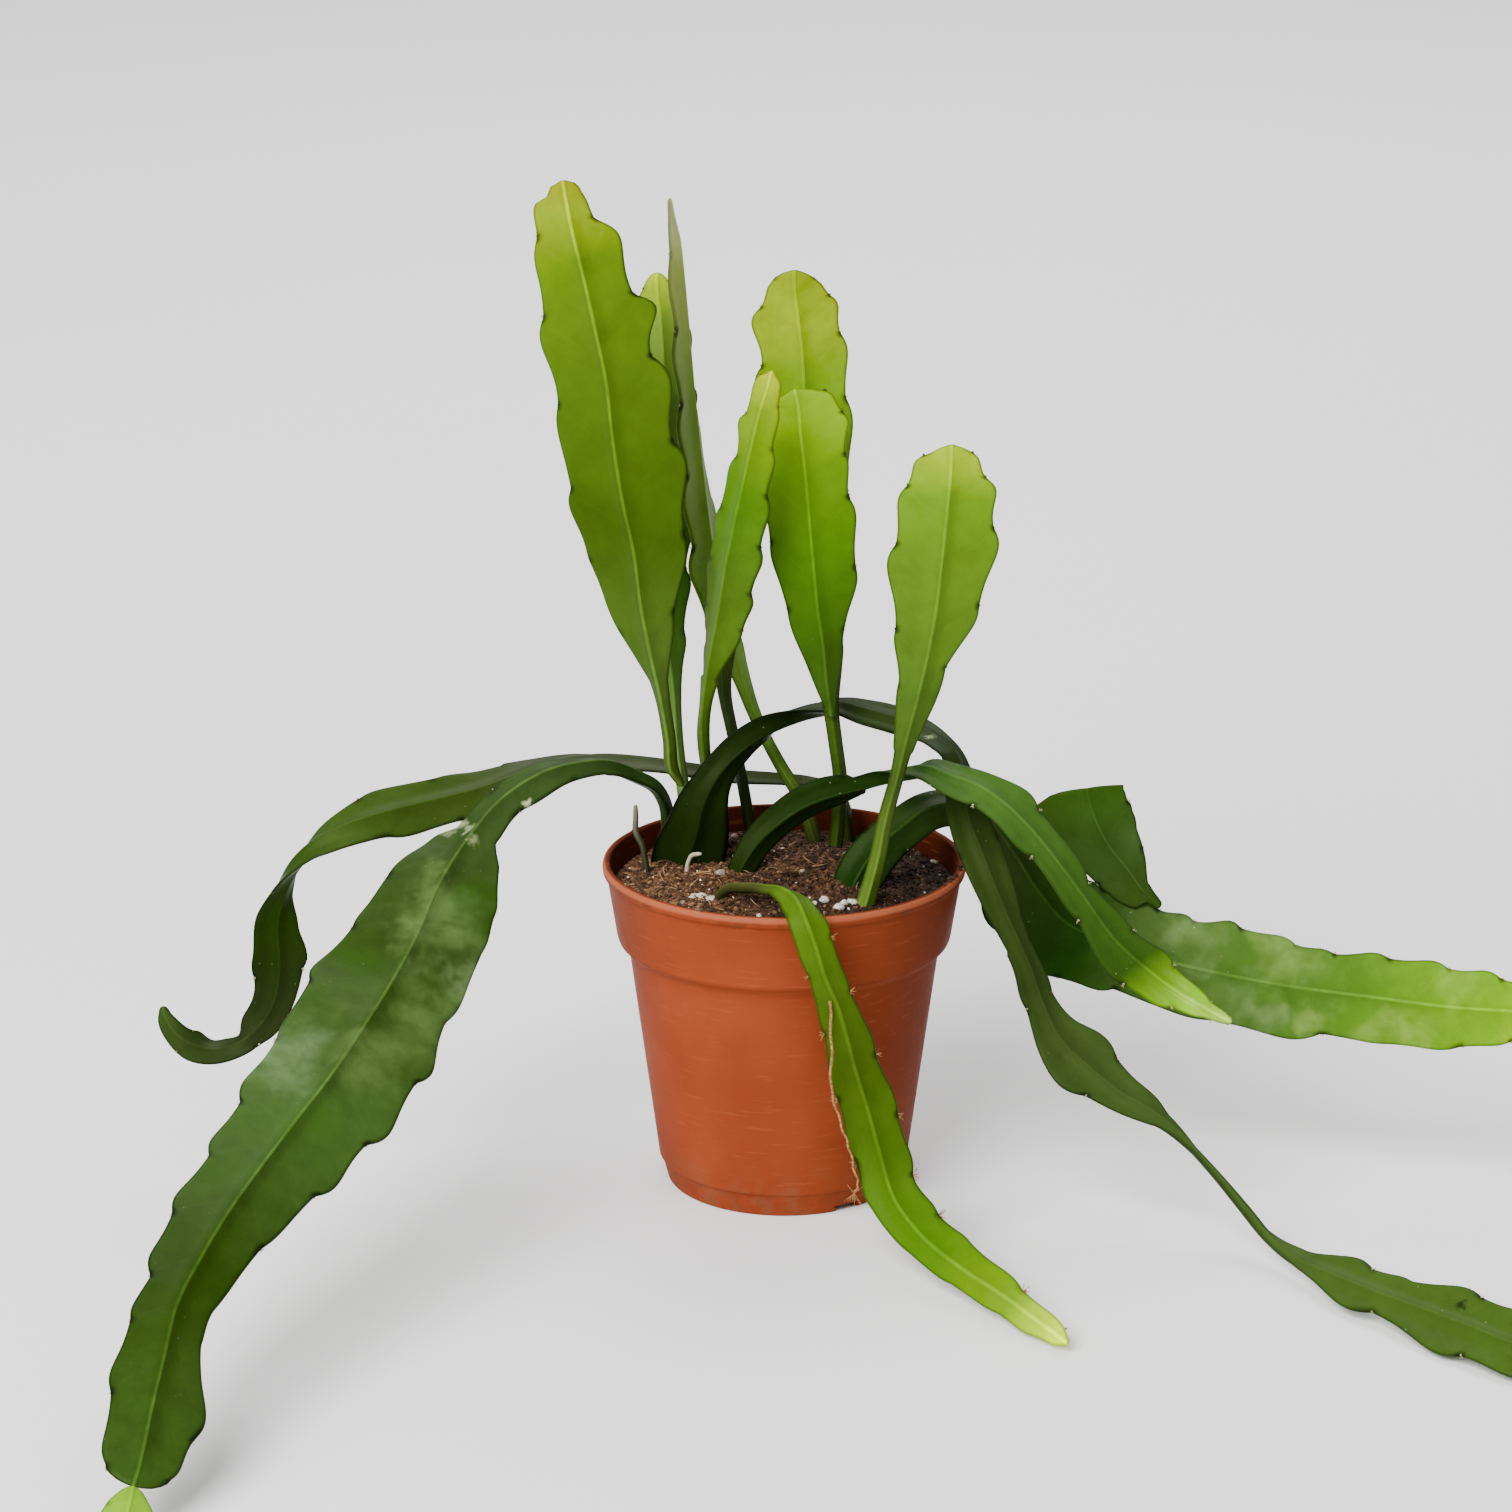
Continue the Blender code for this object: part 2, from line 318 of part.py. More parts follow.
# The blunt stem buds on the upper margin of the one that reaches right.
DARK_BLUNT_BUD = 146.0
DARK_BLUNT = [
    (119, 15.5, 96, 3.4, (0.1, -1, 0.1)), (114.5, 19, 101.5, 7.6, (0.1, -1, 0.1)),
    (108, 23, 109, 11.4, (0.1, -1, 0.1)), (104.4, 26, 115.5, 15, (0.1, -1, 0.1)),
    (102.4, 28, 121, 15, (0.1, -1, 0.1)), (101.6, 29, 124.6, 14, (0.1, -1, 0.1)),
    (101.4, 29, 126.4, 9, (0.1, -1, 0.1)),
]
# The young shoot starts at the tip of the hanging stem and lies down on the surface.
YOUNG_SHOOT = [
    (-182.5, -271, 11, 7, (0.15, -0.55, 0.8)), (-183.5, -278, 7.2, 8.6, (0.05, -0.35, 0.93)),
    (-184.5, -285, 4.5, 7.6, (0, -0.3, 0.95)), (-185, -291, 3, 5, (0, -0.2, 1)),
    (-185, -295, 2.4, 1.6, (0, -0.2, 1)),
]
DRY_SHOOT = [
    (-45, 8, 97, 1.1, FRONT), (-46, 8, 107, 1.1, FRONT), (-47, 7, 113, 1, FRONT), (-49, 6, 118, 1, FRONT),
    (-49, 5, 124, 0.9, FRONT), (-49, 5, 128, 0.7, FRONT),
]
WHITE_ROOT = [(-32, 8.5, 98), (-32, 8.5, 106), (-30.5, 7.6, 109.5), (-27.5, 6.6, 110.4)]
WHITE_ROOT_RADIUS = 0.75


def colour(name, rgb, roughness):
    """A plain surface of one colour."""
    material = bpy.data.materials.new(name)
    material.use_nodes = True
    shader = material.node_tree.nodes["Principled BSDF"]
    shader.inputs["Base Color"].default_value = (*rgb, 1.0)
    shader.inputs["Roughness"].default_value = roughness
    shader.inputs["Metallic"].default_value = 0.0
    return material


def add(name, mesh, material, group):
    """Puts a mesh in the model as an object of its own."""
    piece = bpy.data.objects.new(name, mesh)
    group.objects.link(piece)
    mesh.materials.append(material)
    return piece


def finished_mesh(piece):
    """The piece's mesh with its modifiers applied."""
    bpy.context.view_layer.update()
    seen = piece.evaluated_get(bpy.context.evaluated_depsgraph_get())
    mesh = bpy.data.meshes.new_from_object(seen)
    piece.modifiers.clear()
    piece.data = mesh
    return mesh


def turn(name, profile, sides, material, group):
    """A turned piece: the profile is a list of (radius, height) in millimetres, down its outer side."""
    mesh = bpy.data.meshes.new(name)
    points = [(radius * MM, 0.0, height * MM) for radius, height in profile]
    mesh.from_pydata(points, [(i, i + 1) for i in range(len(points) - 1)], [])
    piece = add(name, mesh, material, group)
    screw = piece.modifiers.new("turned", "SCREW")
    screw.axis = "Z"
    screw.angle = math.tau
    screw.steps = sides
    screw.render_steps = sides
    screw.use_merge_vertices = True
    screw.merge_threshold = 0.0001
    return piece


def cutter(name, mesh, group):
    """A shape that is only cut with."""
    tool = bpy.data.objects.new(name, mesh)
    group.objects.link(tool)
    tool.hide_render = True
    tool.display_type = "WIRE"
    return tool


def cut(piece, group):
    """Takes every cutter of a collection out of the piece."""
    boolean = piece.modifiers.new("holes", "BOOLEAN")
    boolean.operation = "DIFFERENCE"
    boolean.operand_type = "COLLECTION"
    boolean.collection = group


def rod(radius, length, sides=12):
    """A cylinder's mesh, upright round its own middle, in millimetres."""
    mesh = bpy.data.meshes.new("rod")
    bm = bmesh.new()
    bmesh.ops.create_cone(
        bm, cap_ends=True, segments=sides, radius1=radius * MM, radius2=radius * MM, depth=length * MM
    )
    bm.to_mesh(mesh)
    bm.free()
    return mesh


def block(size):
    """A box's mesh round its own middle, in millimetres."""
    mesh = bpy.data.meshes.new("block")
    bm = bmesh.new()
    bmesh.ops.create_cube(bm, size=1.0)
    bmesh.ops.scale(bm, vec=Vector(size) * MM, verts=bm.verts)
    bm.to_mesh(mesh)
    bm.free()
    return mesh


def smooth_curve(points, samples=24):
    """Rows on a smooth curve through rows of numbers, whose first three columns are the place."""
    p = np.asarray(points, float)
    step = np.linalg.norm(np.diff(p[:, :3], axis=0), axis=1)[:, None]
    slope = np.diff(p, axis=0) / step
    tangent = np.empty_like(p)
    tangent[0], tangent[-1] = slope[0], slope[-1]
    tangent[1:-1] = (slope[:-1] * step[1:] + slope[1:] * step[:-1]) / (step[:-1] + step[1:])
    rows = []
    for i, length in enumerate(step):
        for k in range(samples):
            u = k / samples
            rows.append(
                (2 * u**3 - 3 * u**2 + 1) * p[i]
                + (u**3 - 2 * u**2 + u) * length * tangent[i]
                + (3 * u**2 - 2 * u**3) * p[i + 1]
                + (u**3 - u**2) * length * tangent[i + 1]
            )
    rows.append(p[-1])
    return np.array(rows)


def unit(rows):
    """Rows of vectors, each made one long."""
    return rows / np.linalg.norm(rows, axis=-1, keepdims=True)


def fine_stations(stations):
    """The stations as a fine smooth curve, and how far along the midrib each of its rows is."""
    fine = smooth_curve([[x, y, z, half, *face] for x, y, z, half, face in stations])
    run = np.concatenate([[0.0], np.cumsum(np.linalg.norm(np.diff(fine[:, :3], axis=0), axis=1))])
    return fine, run


def frames(fine, run, places):
    """Midrib points, half widths, directions along and across, and facing, at distances along a stem."""
    rows = np.stack([np.interp(places, run, fine[:, column]) for column in range(7)], 1)
    ahead = np.stack([np.interp(places + 0.5, run, fine[:, column]) for column in range(3)], 1)
    behind = np.stack([np.interp(places - 0.5, run, fine[:, column]) for column in range(3)], 1)
    along = unit(ahead - behind)
    face = rows[:, 4:] - (rows[:, 4:] * along).sum(1)[:, None] * along
    face = unit(face)
    return rows[:, :3], rows[:, 3], along, np.cross(along, face), face


def tooth(turns):
    """The margin's lobe, from 0 in the notch to 1 at its shoulder, once a turn."""
    return np.sin(np.pi * (turns % 1.0) ** TOOTH_LEAN)


def margin_line(places, half, notches):
    """A margin through its notches, bulging between them; where none are given it follows the half width."""
    spots = np.array(notches, float)
    after = np.clip(np.searchsorted(spots[:, 0], places), 1, len(spots) - 1)
    reach = spots[after, 0] - spots[after - 1, 0]
    share = np.clip((places - spots[after - 1, 0]) / reach, 0.0, 1.0)
    line = spots[after - 1, 1] * (1.0 - share) + spots[after, 1] * share
    line = line + spots[after, 2] * np.sin(np.pi * share**TOOTH_LEAN)
    known = (places >= spots[0, 0]) & (places <= spots[-1, 0])
    return np.where(known, line, half)


def margins(half, places, pitch=25.0, depth=2.6, phase=0.0, left=None, right=None, **rest):
    """How far the left and the right margin stand out from the midrib."""
    strength = np.clip((half - TOOTH_FROM) / (TOOTH_FULL - TOOTH_FROM), 0.0, 1.0)
    one = half + depth * strength * (tooth(places / pitch + phase) - 0.5)
    other = half + depth * strength * (tooth(places / pitch + phase + 0.5) - 0.5)
    if left:
        one = margin_line(places, half, left)
        other = margin_line(places, half, right)
    return one, other


def margin_point(stations, form, place, beyond):
    """A point just beyond a stem's left margin."""
    fine, run = fine_stations(stations)
    places = np.array([place])
    rib, half, along, across, face = frames(fine, run, places)
    left, right = margins(half, places, **form)
    return tuple(rib[0] - across[0] * (left[0] + beyond))


def tip_point(stations, beyond):
    """A point just beyond a stem's tip."""
    fine, run = fine_stations(stations)
    rib, half, along, across, face = frames(fine, run, run[-1:] - 0.5)
    return tuple(rib[0] + along[0] * (0.5 + beyond))


def stem(name, stations, form, material, group, budding=False):
    """One flat stem: a grid laid along its midrib, split into triangles and given its thickness."""
    rib, edge, fold = form.get("rib", RIB), form.get("edge", EDGE), form.get("fold", FOLD)
    fine, run = fine_stations(stations)
    row_length = np.where(fine[:, 3] < STALK_HALF, STALK_ROW, BLADE_ROW)
    measure = np.concatenate([[0.0], np.cumsum(np.diff(run) / row_length[:-1])])
    count = max(4, round(measure[-1]))
    places = np.interp(np.linspace(0.0, measure[-1], count + 1), measure, run)
    midrib, half, along, across, face = frames(fine, run, places)
    left, right = margins(half, places, **form)
    left_rib, right_rib = np.minimum(0.55 * left, RIB_HALF), np.minimum(0.55 * right, RIB_HALF)
    offsets = np.stack([-left, -left_rib, np.zeros_like(half), right_rib, right], 1)
    fade = np.clip((run[-1] - places) / TIP_FADE, TIP_SHARE, 1.0)
    if budding:
        fade = np.minimum(fade, np.clip(places / BUD_FADE, TIP_SHARE, 1.0))

    columns = offsets.shape[1] - 1
    bm = bmesh.new()
    bmesh.ops.create_grid(bm, x_segments=columns, y_segments=count, size=1.0)
    flesh = []
    for vertex in bm.verts:
        column = round((vertex.co.x + 1.0) / 2.0 * columns)
        row = round((vertex.co.y + 1.0) / 2.0 * count)
        offset = offsets[row, column]
        point = midrib[row] + across[row] * offset - face[row] * abs(offset) * fold
        vertex.co = Vector(point) * MM
        flesh.append(edge + (rib * fade[row] - edge) * math.exp(-((offset / RIB_REACH) ** 2)))
    mesh = bpy.data.meshes.new(name)
    bm.to_mesh(mesh)
    bm.free()

    piece = add(name, mesh, material, group)
    weights = piece.vertex_groups.new(name="flesh")
    for index, thickness in enumerate(flesh):
        weights.add([index], thickness / rib, "REPLACE")
    split = piece.modifiers.new("split", "TRIANGULATE")
    split.quad_method = "FIXED"
    solid = piece.modifiers.new("flesh", "SOLIDIFY")
    solid.thickness = rib * MM
    solid.offset = 0.0
    solid.vertex_group = "flesh"
    mesh.shade_smooth()
    return piece


def stem_hole(stations, form, group):
    """A plain slanted slot with round corners for a stem's foot, open upwards and a little wider."""
    fine, run = fine_stations(stations)
    midrib, half, along, across, face = frames(fine, run, np.array([0.0, HOLE_REACH]))
    ahead = Vector(midrib[1] - midrib[0]).normalized()
    length = 3.0 * HOLE_REACH
    hole = cutter("hole_for_stem", rod(1.0, length, 16), group)
    sag = form.get("fold", FOLD) * max(half) / 2.0
    wide = Vector(across[0]) * (max(half) * 1.1 + 2.2)
    thick = Vector(face[0]) * (form.get("rib", RIB) / 2.0 + 1.2 + sag)
    foot = Vector(midrib[0]) - ahead * CLEARANCE - Vector(face[0]) * sag
    for vertex in hole.data.vertices:
        x, y, z = vertex.co / MM
        round_x, round_y = math.copysign(math.sqrt(abs(x)), x), math.copysign(math.sqrt(abs(y)), y)
        vertex.co = (foot + wide * round_x - thick * round_y + ahead * (z + length / 2.0)) * MM


def pot_inside():
    """The pot's inner wall, from the middle of its floor up to the lip, as (radius, height)."""
    return [
        (0.0, FLOOR_TOP),
        (FOOT_LINE_RADIUS - WALL - 1.8, FLOOR_TOP),
        (FOOT_LINE_RADIUS - WALL - 0.6, FOOT_LINE_HEIGHT),
        (WALL_TOP_RADIUS - WALL, WALL_TOP_HEIGHT + 0.4),
        (COLLAR_FOOT_RADIUS - WALL, COLLAR_FOOT_HEIGHT + 0.6),
        (RIM_RADIUS - WALL - 1.4, POT_HEIGHT - LIP_HEIGHT),
    ]


def make_pot(group, cutters):
    """A tapered pot with a rolled lip, a collar, a step, a foot ring and drain holes in its floor."""
    lip_low = POT_HEIGHT - LIP_HEIGHT
    outside = [
        (RIM_RADIUS - 2.6, POT_HEIGHT - 0.5),
        (RIM_RADIUS - 2.0, POT_HEIGHT),
        (RIM_RADIUS - 0.9, POT_HEIGHT),
        (RIM_RADIUS - 0.2, POT_HEIGHT - 0.7),
        (RIM_RADIUS, POT_HEIGHT - 1.8),
        (RIM_RADIUS - 0.3, lip_low + 0.5),
        (RIM_RADIUS - 1.3, lip_low),
        (COLLAR_FOOT_RADIUS + 0.4, COLLAR_FOOT_HEIGHT + 1.5),
        (COLLAR_FOOT_RADIUS, COLLAR_FOOT_HEIGHT),
        (COLLAR_FOOT_RADIUS - 0.9, COLLAR_FOOT_HEIGHT - 0.9),
        (WALL_TOP_RADIUS, WALL_TOP_HEIGHT),
        (FOOT_LINE_RADIUS, FOOT_LINE_HEIGHT),
        (FOOT_LINE_RADIUS - 0.8, FOOT_LINE_HEIGHT - 0.5),
        (FOOT_RADIUS + 0.3, 0.5),
        (FOOT_RADIUS, 0.0),
        (FOOT_RADIUS - FOOT_WIDTH, 0.0),
        (FOOT_RADIUS - FOOT_WIDTH - 0.5, FLOOR_RISE),
        (PAD_RADIUS + 0.5, FLOOR_RISE),
        (PAD_RADIUS, 0.0),
        (0.0, 0.0),
    ]
    plastic = colour("terracotta_plastic", (0.50, 0.14, 0.06), 0.45)
    pot = turn("pot", pot_inside() + outside, POT_SIDES, plastic, group)
    for k in range(DRAIN_HOLES):
        angle = math.tau * (k + 0.25) / DRAIN_HOLES
        hole = cutter("drain_hole", rod(DRAIN_RADIUS, 12.0), cutters)
        hole.location = Vector((math.cos(angle), math.sin(angle), 0.0)) * DRAIN_CIRCLE * MM
    for k in range(FOOT_NOTCHES):
        angle = NOTCH_ANGLE + math.tau * k / FOOT_NOTCHES
        notch = cutter("foot_notch", block((FOOT_WIDTH * 4.0, NOTCH_WIDTH, FLOOR_RISE * 2.0 - 0.4)), cutters)
        notch.location = Vector((math.cos(angle), math.sin(angle), 0.0)) * FOOT_RADIUS * MM
        notch.rotation_euler.z = angle
    cut(pot, cutters)
    finished_mesh(pot).shade_smooth()
    pot.data.set_sharp_from_angle(angle=math.radians(35))


def soil_height(x, y):
    """The soil's surface at a place, in millimetres: slightly domed, with a mound and low clods."""
    edge = min(1.0, math.hypot(x, y) / SOIL_RADIUS)
    across = (x - MOUND_PLACE[0]) / MOUND_SPREAD[0]
    deep = (y - MOUND_PLACE[1]) / MOUND_SPREAD[1]
    mound = MOUND_RISE * math.exp(-(across**2 + deep**2) / 2.0)
    clods = CLOD_RISE * (math.sin(0.31 * x + 1.0) * math.sin(0.27 * y) + math.sin(0.17 * x - 0.21 * y))
    return SOIL_MIDDLE + (SOIL_EDGE - SOIL_MIDDLE) * edge**2 + mound + clods * (1.0 - edge**2)


def make_soil(group, cutters):
    """The soil fills the pot to just under its lip and has a plain hole for the foot of each stem."""
    walls = [(radius - CLEARANCE, height) for radius, height in reversed(pot_inside()[2:-1])]
    share = (SOIL_EDGE - COLLAR_FOOT_HEIGHT) / (POT_HEIGHT - LIP_HEIGHT - COLLAR_FOOT_HEIGHT)
    collar, lip = pot_inside()[-2][0], pot_inside()[-1][0]
    brim = collar + (lip - collar) * share - CLEARANCE
    base = [(pot_inside()[1][0] - CLEARANCE, FLOOR_TOP + CLEARANCE), (0.0, FLOOR_TOP + CLEARANCE)]
    top = [(ring, SOIL_MIDDLE) for ring in SOIL_RINGS] + [(brim, SOIL_EDGE)]
    peat = colour("peat", (0.06, 0.035, 0.02), 0.95)
    soil = turn("soil", top + walls + base, POT_SIDES, peat, group)
    finished_mesh(soil)
    surface = (COLLAR_FOOT_HEIGHT + 10.0) * MM
    for vertex in soil.data.vertices:
        if vertex.co.z > surface:
            vertex.co.z = soil_height(vertex.co.x / MM, vertex.co.y / MM) * MM
    cut(soil, cutters)
    finished_mesh(soil)


def make_white_root(group, material):
    """A bare root that hooks out of the soil, a round wire."""
    curve = bpy.data.curves.new("white_root", "CURVE")
    curve.dimensions = "3D"
    curve.bevel_depth = WHITE_ROOT_RADIUS * MM
    curve.bevel_resolution = 1
    curve.use_fill_caps = True
    line = curve.splines.new("POLY")
    points = smooth_curve(WHITE_ROOT, 2)
    line.points.add(len(points) - 1)
    for place, point in zip(line.points, points):
        place.co = (*(point * MM), 1.0)
    curve.materials.append(material)
    root = bpy.data.objects.new("white_root", curve)
    group.objects.link(root)


def make_model():
    """Every piece of the plant, its soil and its pot."""
    group = bpy.data.collections.new("potted_orchid_cactus")
    pot_cutters = bpy.data.collections.new("pot_cutters")
    soil_cutters = bpy.data.collections.new("soil_cutters")
    for collection in (group, pot_cutters, soil_cutters):
        bpy.context.scene.collection.children.link(collection)

    old = colour("old_stem", (0.02, 0.075, 0.01), 0.35)
    grown = colour("grown_stem", (0.05, 0.16, 0.012), 0.38)
    young = colour("young_stem", (0.16, 0.36, 0.02), 0.42)
    woody = colour("dry_shoot", (0.20, 0.22, 0.11), 0.7)
    pale = colour("pale_root", (0.62, 0.60, 0.50), 0.6)

    bud = margin_point(ARCHING_RIGHT, ARCHING_RIGHT_FORM, LEFT_TALL_BUD, BUD_GAP)
    left_tall = [(*bud, 1.2, (-0.2, -1, 0))] + LEFT_TALL
    bud = margin_point(REACHING_RIGHT, REACHING_RIGHT_FORM, DARK_BLUNT_BUD, BUD_GAP)
    dark_blunt = [(*bud, 1.4, (0.1, -1, 0.1))] + DARK_BLUNT
    bud = tip_point(HANGING_LEFT, BUD_GAP)
    young_shoot = [(*bud, 2.0, (0.2, -0.6, 0.75))] + YOUNG_SHOOT

    planted = (
        ("stem_arching_right", ARCHING_RIGHT, ARCHING_RIGHT_FORM, old),
        ("stem_arching_centre", ARCHING_CENTRE, ARCHING_CENTRE_FORM, old),
        ("stem_reaching_right", REACHING_RIGHT, REACHING_RIGHT_FORM, grown),
        ("stem_hanging_left", HANGING_LEFT, HANGING_LEFT_FORM, grown),
        ("stem_curling_left", CURLING_LEFT, CURLING_LEFT_FORM, grown),
        ("stem_trailing_front", TRAILING_FRONT, TRAILING_FRONT_FORM, young),
        ("stem_back_edge_on", BACK_EDGE_ON, dict(rib=3.6, phase=0.1), grown),
        ("stem_back_left", BACK_LEFT, dict(phase=0.6, pitch=21.0), young),
        ("stem_hidden_back", HIDDEN_BACK, dict(), grown),
        ("stem_centre_leaning", CENTRE_LEANING, CENTRE_LEANING_FORM, young),
        ("stem_back_centre", BACK_CENTRE, BACK_CENTRE_FORM, young),
        ("stem_right_upright", RIGHT_UPRIGHT, RIGHT_UPRIGHT_FORM, young),
        ("dry_shoot", DRY_SHOOT, dict(rib=2.0, edge=1.2), woody),
    )
    budding = (
        ("stem_left_tall", left_tall, LEFT_TALL_FORM, grown),
        ("stem_front_centre", FRONT_CENTRE, FRONT_CENTRE_FORM, young),
        ("stem_dark_blunt", dark_blunt, DARK_BLUNT_FORM, old),
        ("young_shoot_left", young_shoot, dict(rib=3.0, edge=1.4, pitch=14.0, depth=1.2), young),
    )
    for name, stations, form, material in planted:
        stem(name, stations, form, material, group)
        stem_hole(stations, form, soil_cutters)
    for name, stations, form, material in budding:
        stem(name, stations, form, material, group, budding=True)
    make_white_root(group, pale)
    root_foot = cutter("hole_for_root", rod(WHITE_ROOT_RADIUS + 0.6, 24.0, 10), soil_cutters)
    root_foot.location = (Vector(WHITE_ROOT[0]) + Vector((0.0, 0.0, 12.0 - CLEARANCE))) * MM

    make_pot(group, pot_cutters)
    make_soil(group, soil_cutters)


for leftover in list(bpy.data.objects):
    bpy.data.objects.remove(leftover)
make_model()
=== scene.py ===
"""The looks of a potted orchid cactus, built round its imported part.

Sizes and places are in millimetres, as in the part, and turn into metres where a mesh is made.
"""

import json
import math

import bmesh
import bpy
import numpy as np
from mathutils import Matrix, Vector, noise

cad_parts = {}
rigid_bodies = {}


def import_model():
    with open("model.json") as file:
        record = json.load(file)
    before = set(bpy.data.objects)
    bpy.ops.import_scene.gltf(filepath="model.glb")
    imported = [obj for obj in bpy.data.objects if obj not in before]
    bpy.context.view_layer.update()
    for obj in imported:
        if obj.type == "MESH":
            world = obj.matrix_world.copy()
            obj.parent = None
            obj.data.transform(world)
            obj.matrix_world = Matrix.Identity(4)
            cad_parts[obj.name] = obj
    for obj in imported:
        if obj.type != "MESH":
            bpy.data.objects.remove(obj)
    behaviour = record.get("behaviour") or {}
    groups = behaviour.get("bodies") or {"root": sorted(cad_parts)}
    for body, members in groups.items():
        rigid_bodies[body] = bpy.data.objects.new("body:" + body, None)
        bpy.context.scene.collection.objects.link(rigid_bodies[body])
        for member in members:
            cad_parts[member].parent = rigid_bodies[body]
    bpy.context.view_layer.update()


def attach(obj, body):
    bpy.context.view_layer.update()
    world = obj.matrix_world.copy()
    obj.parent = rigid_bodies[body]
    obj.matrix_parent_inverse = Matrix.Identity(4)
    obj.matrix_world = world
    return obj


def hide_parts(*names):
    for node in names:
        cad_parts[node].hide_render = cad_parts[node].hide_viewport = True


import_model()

MM = 0.001
FRONT = (0, -1, 0)

# The pot
RIM_RADIUS = 60.0
POT_HEIGHT = 111.0
LIP_LOW = POT_HEIGHT - 3.8
COLLAR_FOOT_RADIUS = 54.9
COLLAR_FOOT_HEIGHT = 84.6
WALL_TOP_RADIUS = 51.5
WALL_TOP_HEIGHT = 82.2
FOOT_LINE_RADIUS = 41.7
FOOT_LINE_HEIGHT = 8.4
FOOT_RADIUS = 38.8
FOOT_WIDTH = 3.0
PAD_RADIUS = 13.0
FLOOR_RISE = 2.4
FLOOR_TOP = 4.0
WALL = 1.3
POT_SIDES = 160
DRAIN_HOLES = 6
DRAIN_RADIUS = 3.2
DRAIN_CIRCLE = 25.0
DRAIN_SIDES = 24
FOOT_NOTCHES = 2
NOTCH_WIDTH = 9.0
NOTCH_ANGLE = math.radians(-58)
SHARP_CORNER = math.radians(38)
CORNER_REACH = 0.48
WELD = 0.05

# The pot's inside, from its floor up: radius, height and rounding
INSIDE = [
    (FOOT_LINE_RADIUS - WALL - 1.8, FLOOR_TOP, 1.5),
    (FOOT_LINE_RADIUS - WALL - 0.6, FOOT_LINE_HEIGHT, 1.0),
    (WALL_TOP_RADIUS - WALL, WALL_TOP_HEIGHT + 0.4, 1.0),
    (COLLAR_FOOT_RADIUS - WALL, COLLAR_FOOT_HEIGHT + 0.6, 1.0),
    (RIM_RADIUS - WALL - 1.4, LIP_LOW, 0.8),
]

# The soil: its shape, the gap round it, and its crumbly surface
SOIL_RADIUS = 56.5
SOIL_EDGE = 102.5
SOIL_MIDDLE = 104.5
MOUND_PLACE = (12.0, 7.0)
MOUND_SPREAD = (11.0, 13.0)
MOUND_RISE = 7.0
CLOD_RISE = 0.6
SOIL_GAP = 0.3
SOIL_RINGS = 84
SOIL_SECTORS = 240
BARE_RINGS = 3
CRUMB_SIZE = 3.2
CRUMB_RISE = 1.1
CRUMB_SHARE = 0.8
CRUMB_NOISE = (0.7, 2.1, 4)
LUMP_SIZE = 9.0
LUMP_RISE = 1.2

# A stem's flesh
RIB = 4.2
EDGE = 1.5
FOLD = 0.16
RIB_REACH = 2.2
PITCH = 25.0
DEPTH = 2.6
TOOTH_LEAN = 2.2
TOOTH_FROM = 3.5
TOOTH_FULL = 9.5
SPARE_LOBES = 4.0
LOBES_BEFORE = 10.0
FLAT_FROM = 3.0
FLAT_FULL = 8.0
BUD_GAP = 0.8
SHOOT_GAP = -0.3
TIP_FADE = 14.0
BUD_FADE = 9.0
TIP_SHARE = 0.4
WAVE = 0.3
BLUNT_REACH = 2.2
WAVE_SHIFT = 0.2
# How long the painted sheen streaks run along a stem.
SHEEN_STREAK_REACH = 0.02
NOTCH_BULGE = 0.75

# Where tufts stand: clear of the foot, only on flat stretches, just inside the margin, and leaning ahead
BARE_FOOT = 12.0
LEAST_LEAF = 0.1
TUFT_INSET = 0.35
TUFT_FROM = 2.0
TUFT_FULL = 7.0
TUFT_OUT = 0.85
TUFT_AHEAD = 0.5
TUFT_SEED = 11

# How finely a stem is built: row spacing, rows close to its ends, and columns from rib to margin
ROW = 1.5
LEAST_ROWS = 6
STEP = 0.5
FOOT_CAP = 0.02
TIP_CAP = 0.03
FOOT_ROW = 0.02
ROW_GAP = 0.3
END_ROWS = (0.03, 0.12, 0.3, 0.55, 0.9)
RIB_COLUMNS = (0.6, 1.2, 1.9, 2.8, 4.0)
MARGIN_COLUMNS = (2.6, 1.5, 0.8, 0.35, 0.1, 0.0)
BETWEEN_COLUMNS = (0.25, 0.5, 0.75)
FULL_HALF = 8.0

# The camera looks at the plant from the front and a little above.
CAMERA_PLACE = (0.0, -1.406, 0.586)
CAMERA_DOWN = 0.303
CAMERA_YAW = 0.0066
CAMERA_LENS = 107.14
SENSOR_WIDTH = 36.0

# The studio, in metres and watts. Each soft box has a name, a place, an aim, a size and a power.
FLOOR_REACH = 12.0
FLOOR_TONES = ((0.93, 0.93, 0.93), (0.95, 0.95, 0.95))
WORLD_STRENGTH = 0.46
SOFT_BOXES = [
    ("key_light", (-1.2, -1.7, 2.0), (0.0, 0.0, 0.12), 1.9, 160.0),
    ("back_light", (0.2, 2.0, 2.4), (0.1, 1.6, 0.0), 2.4, 80.0),
]

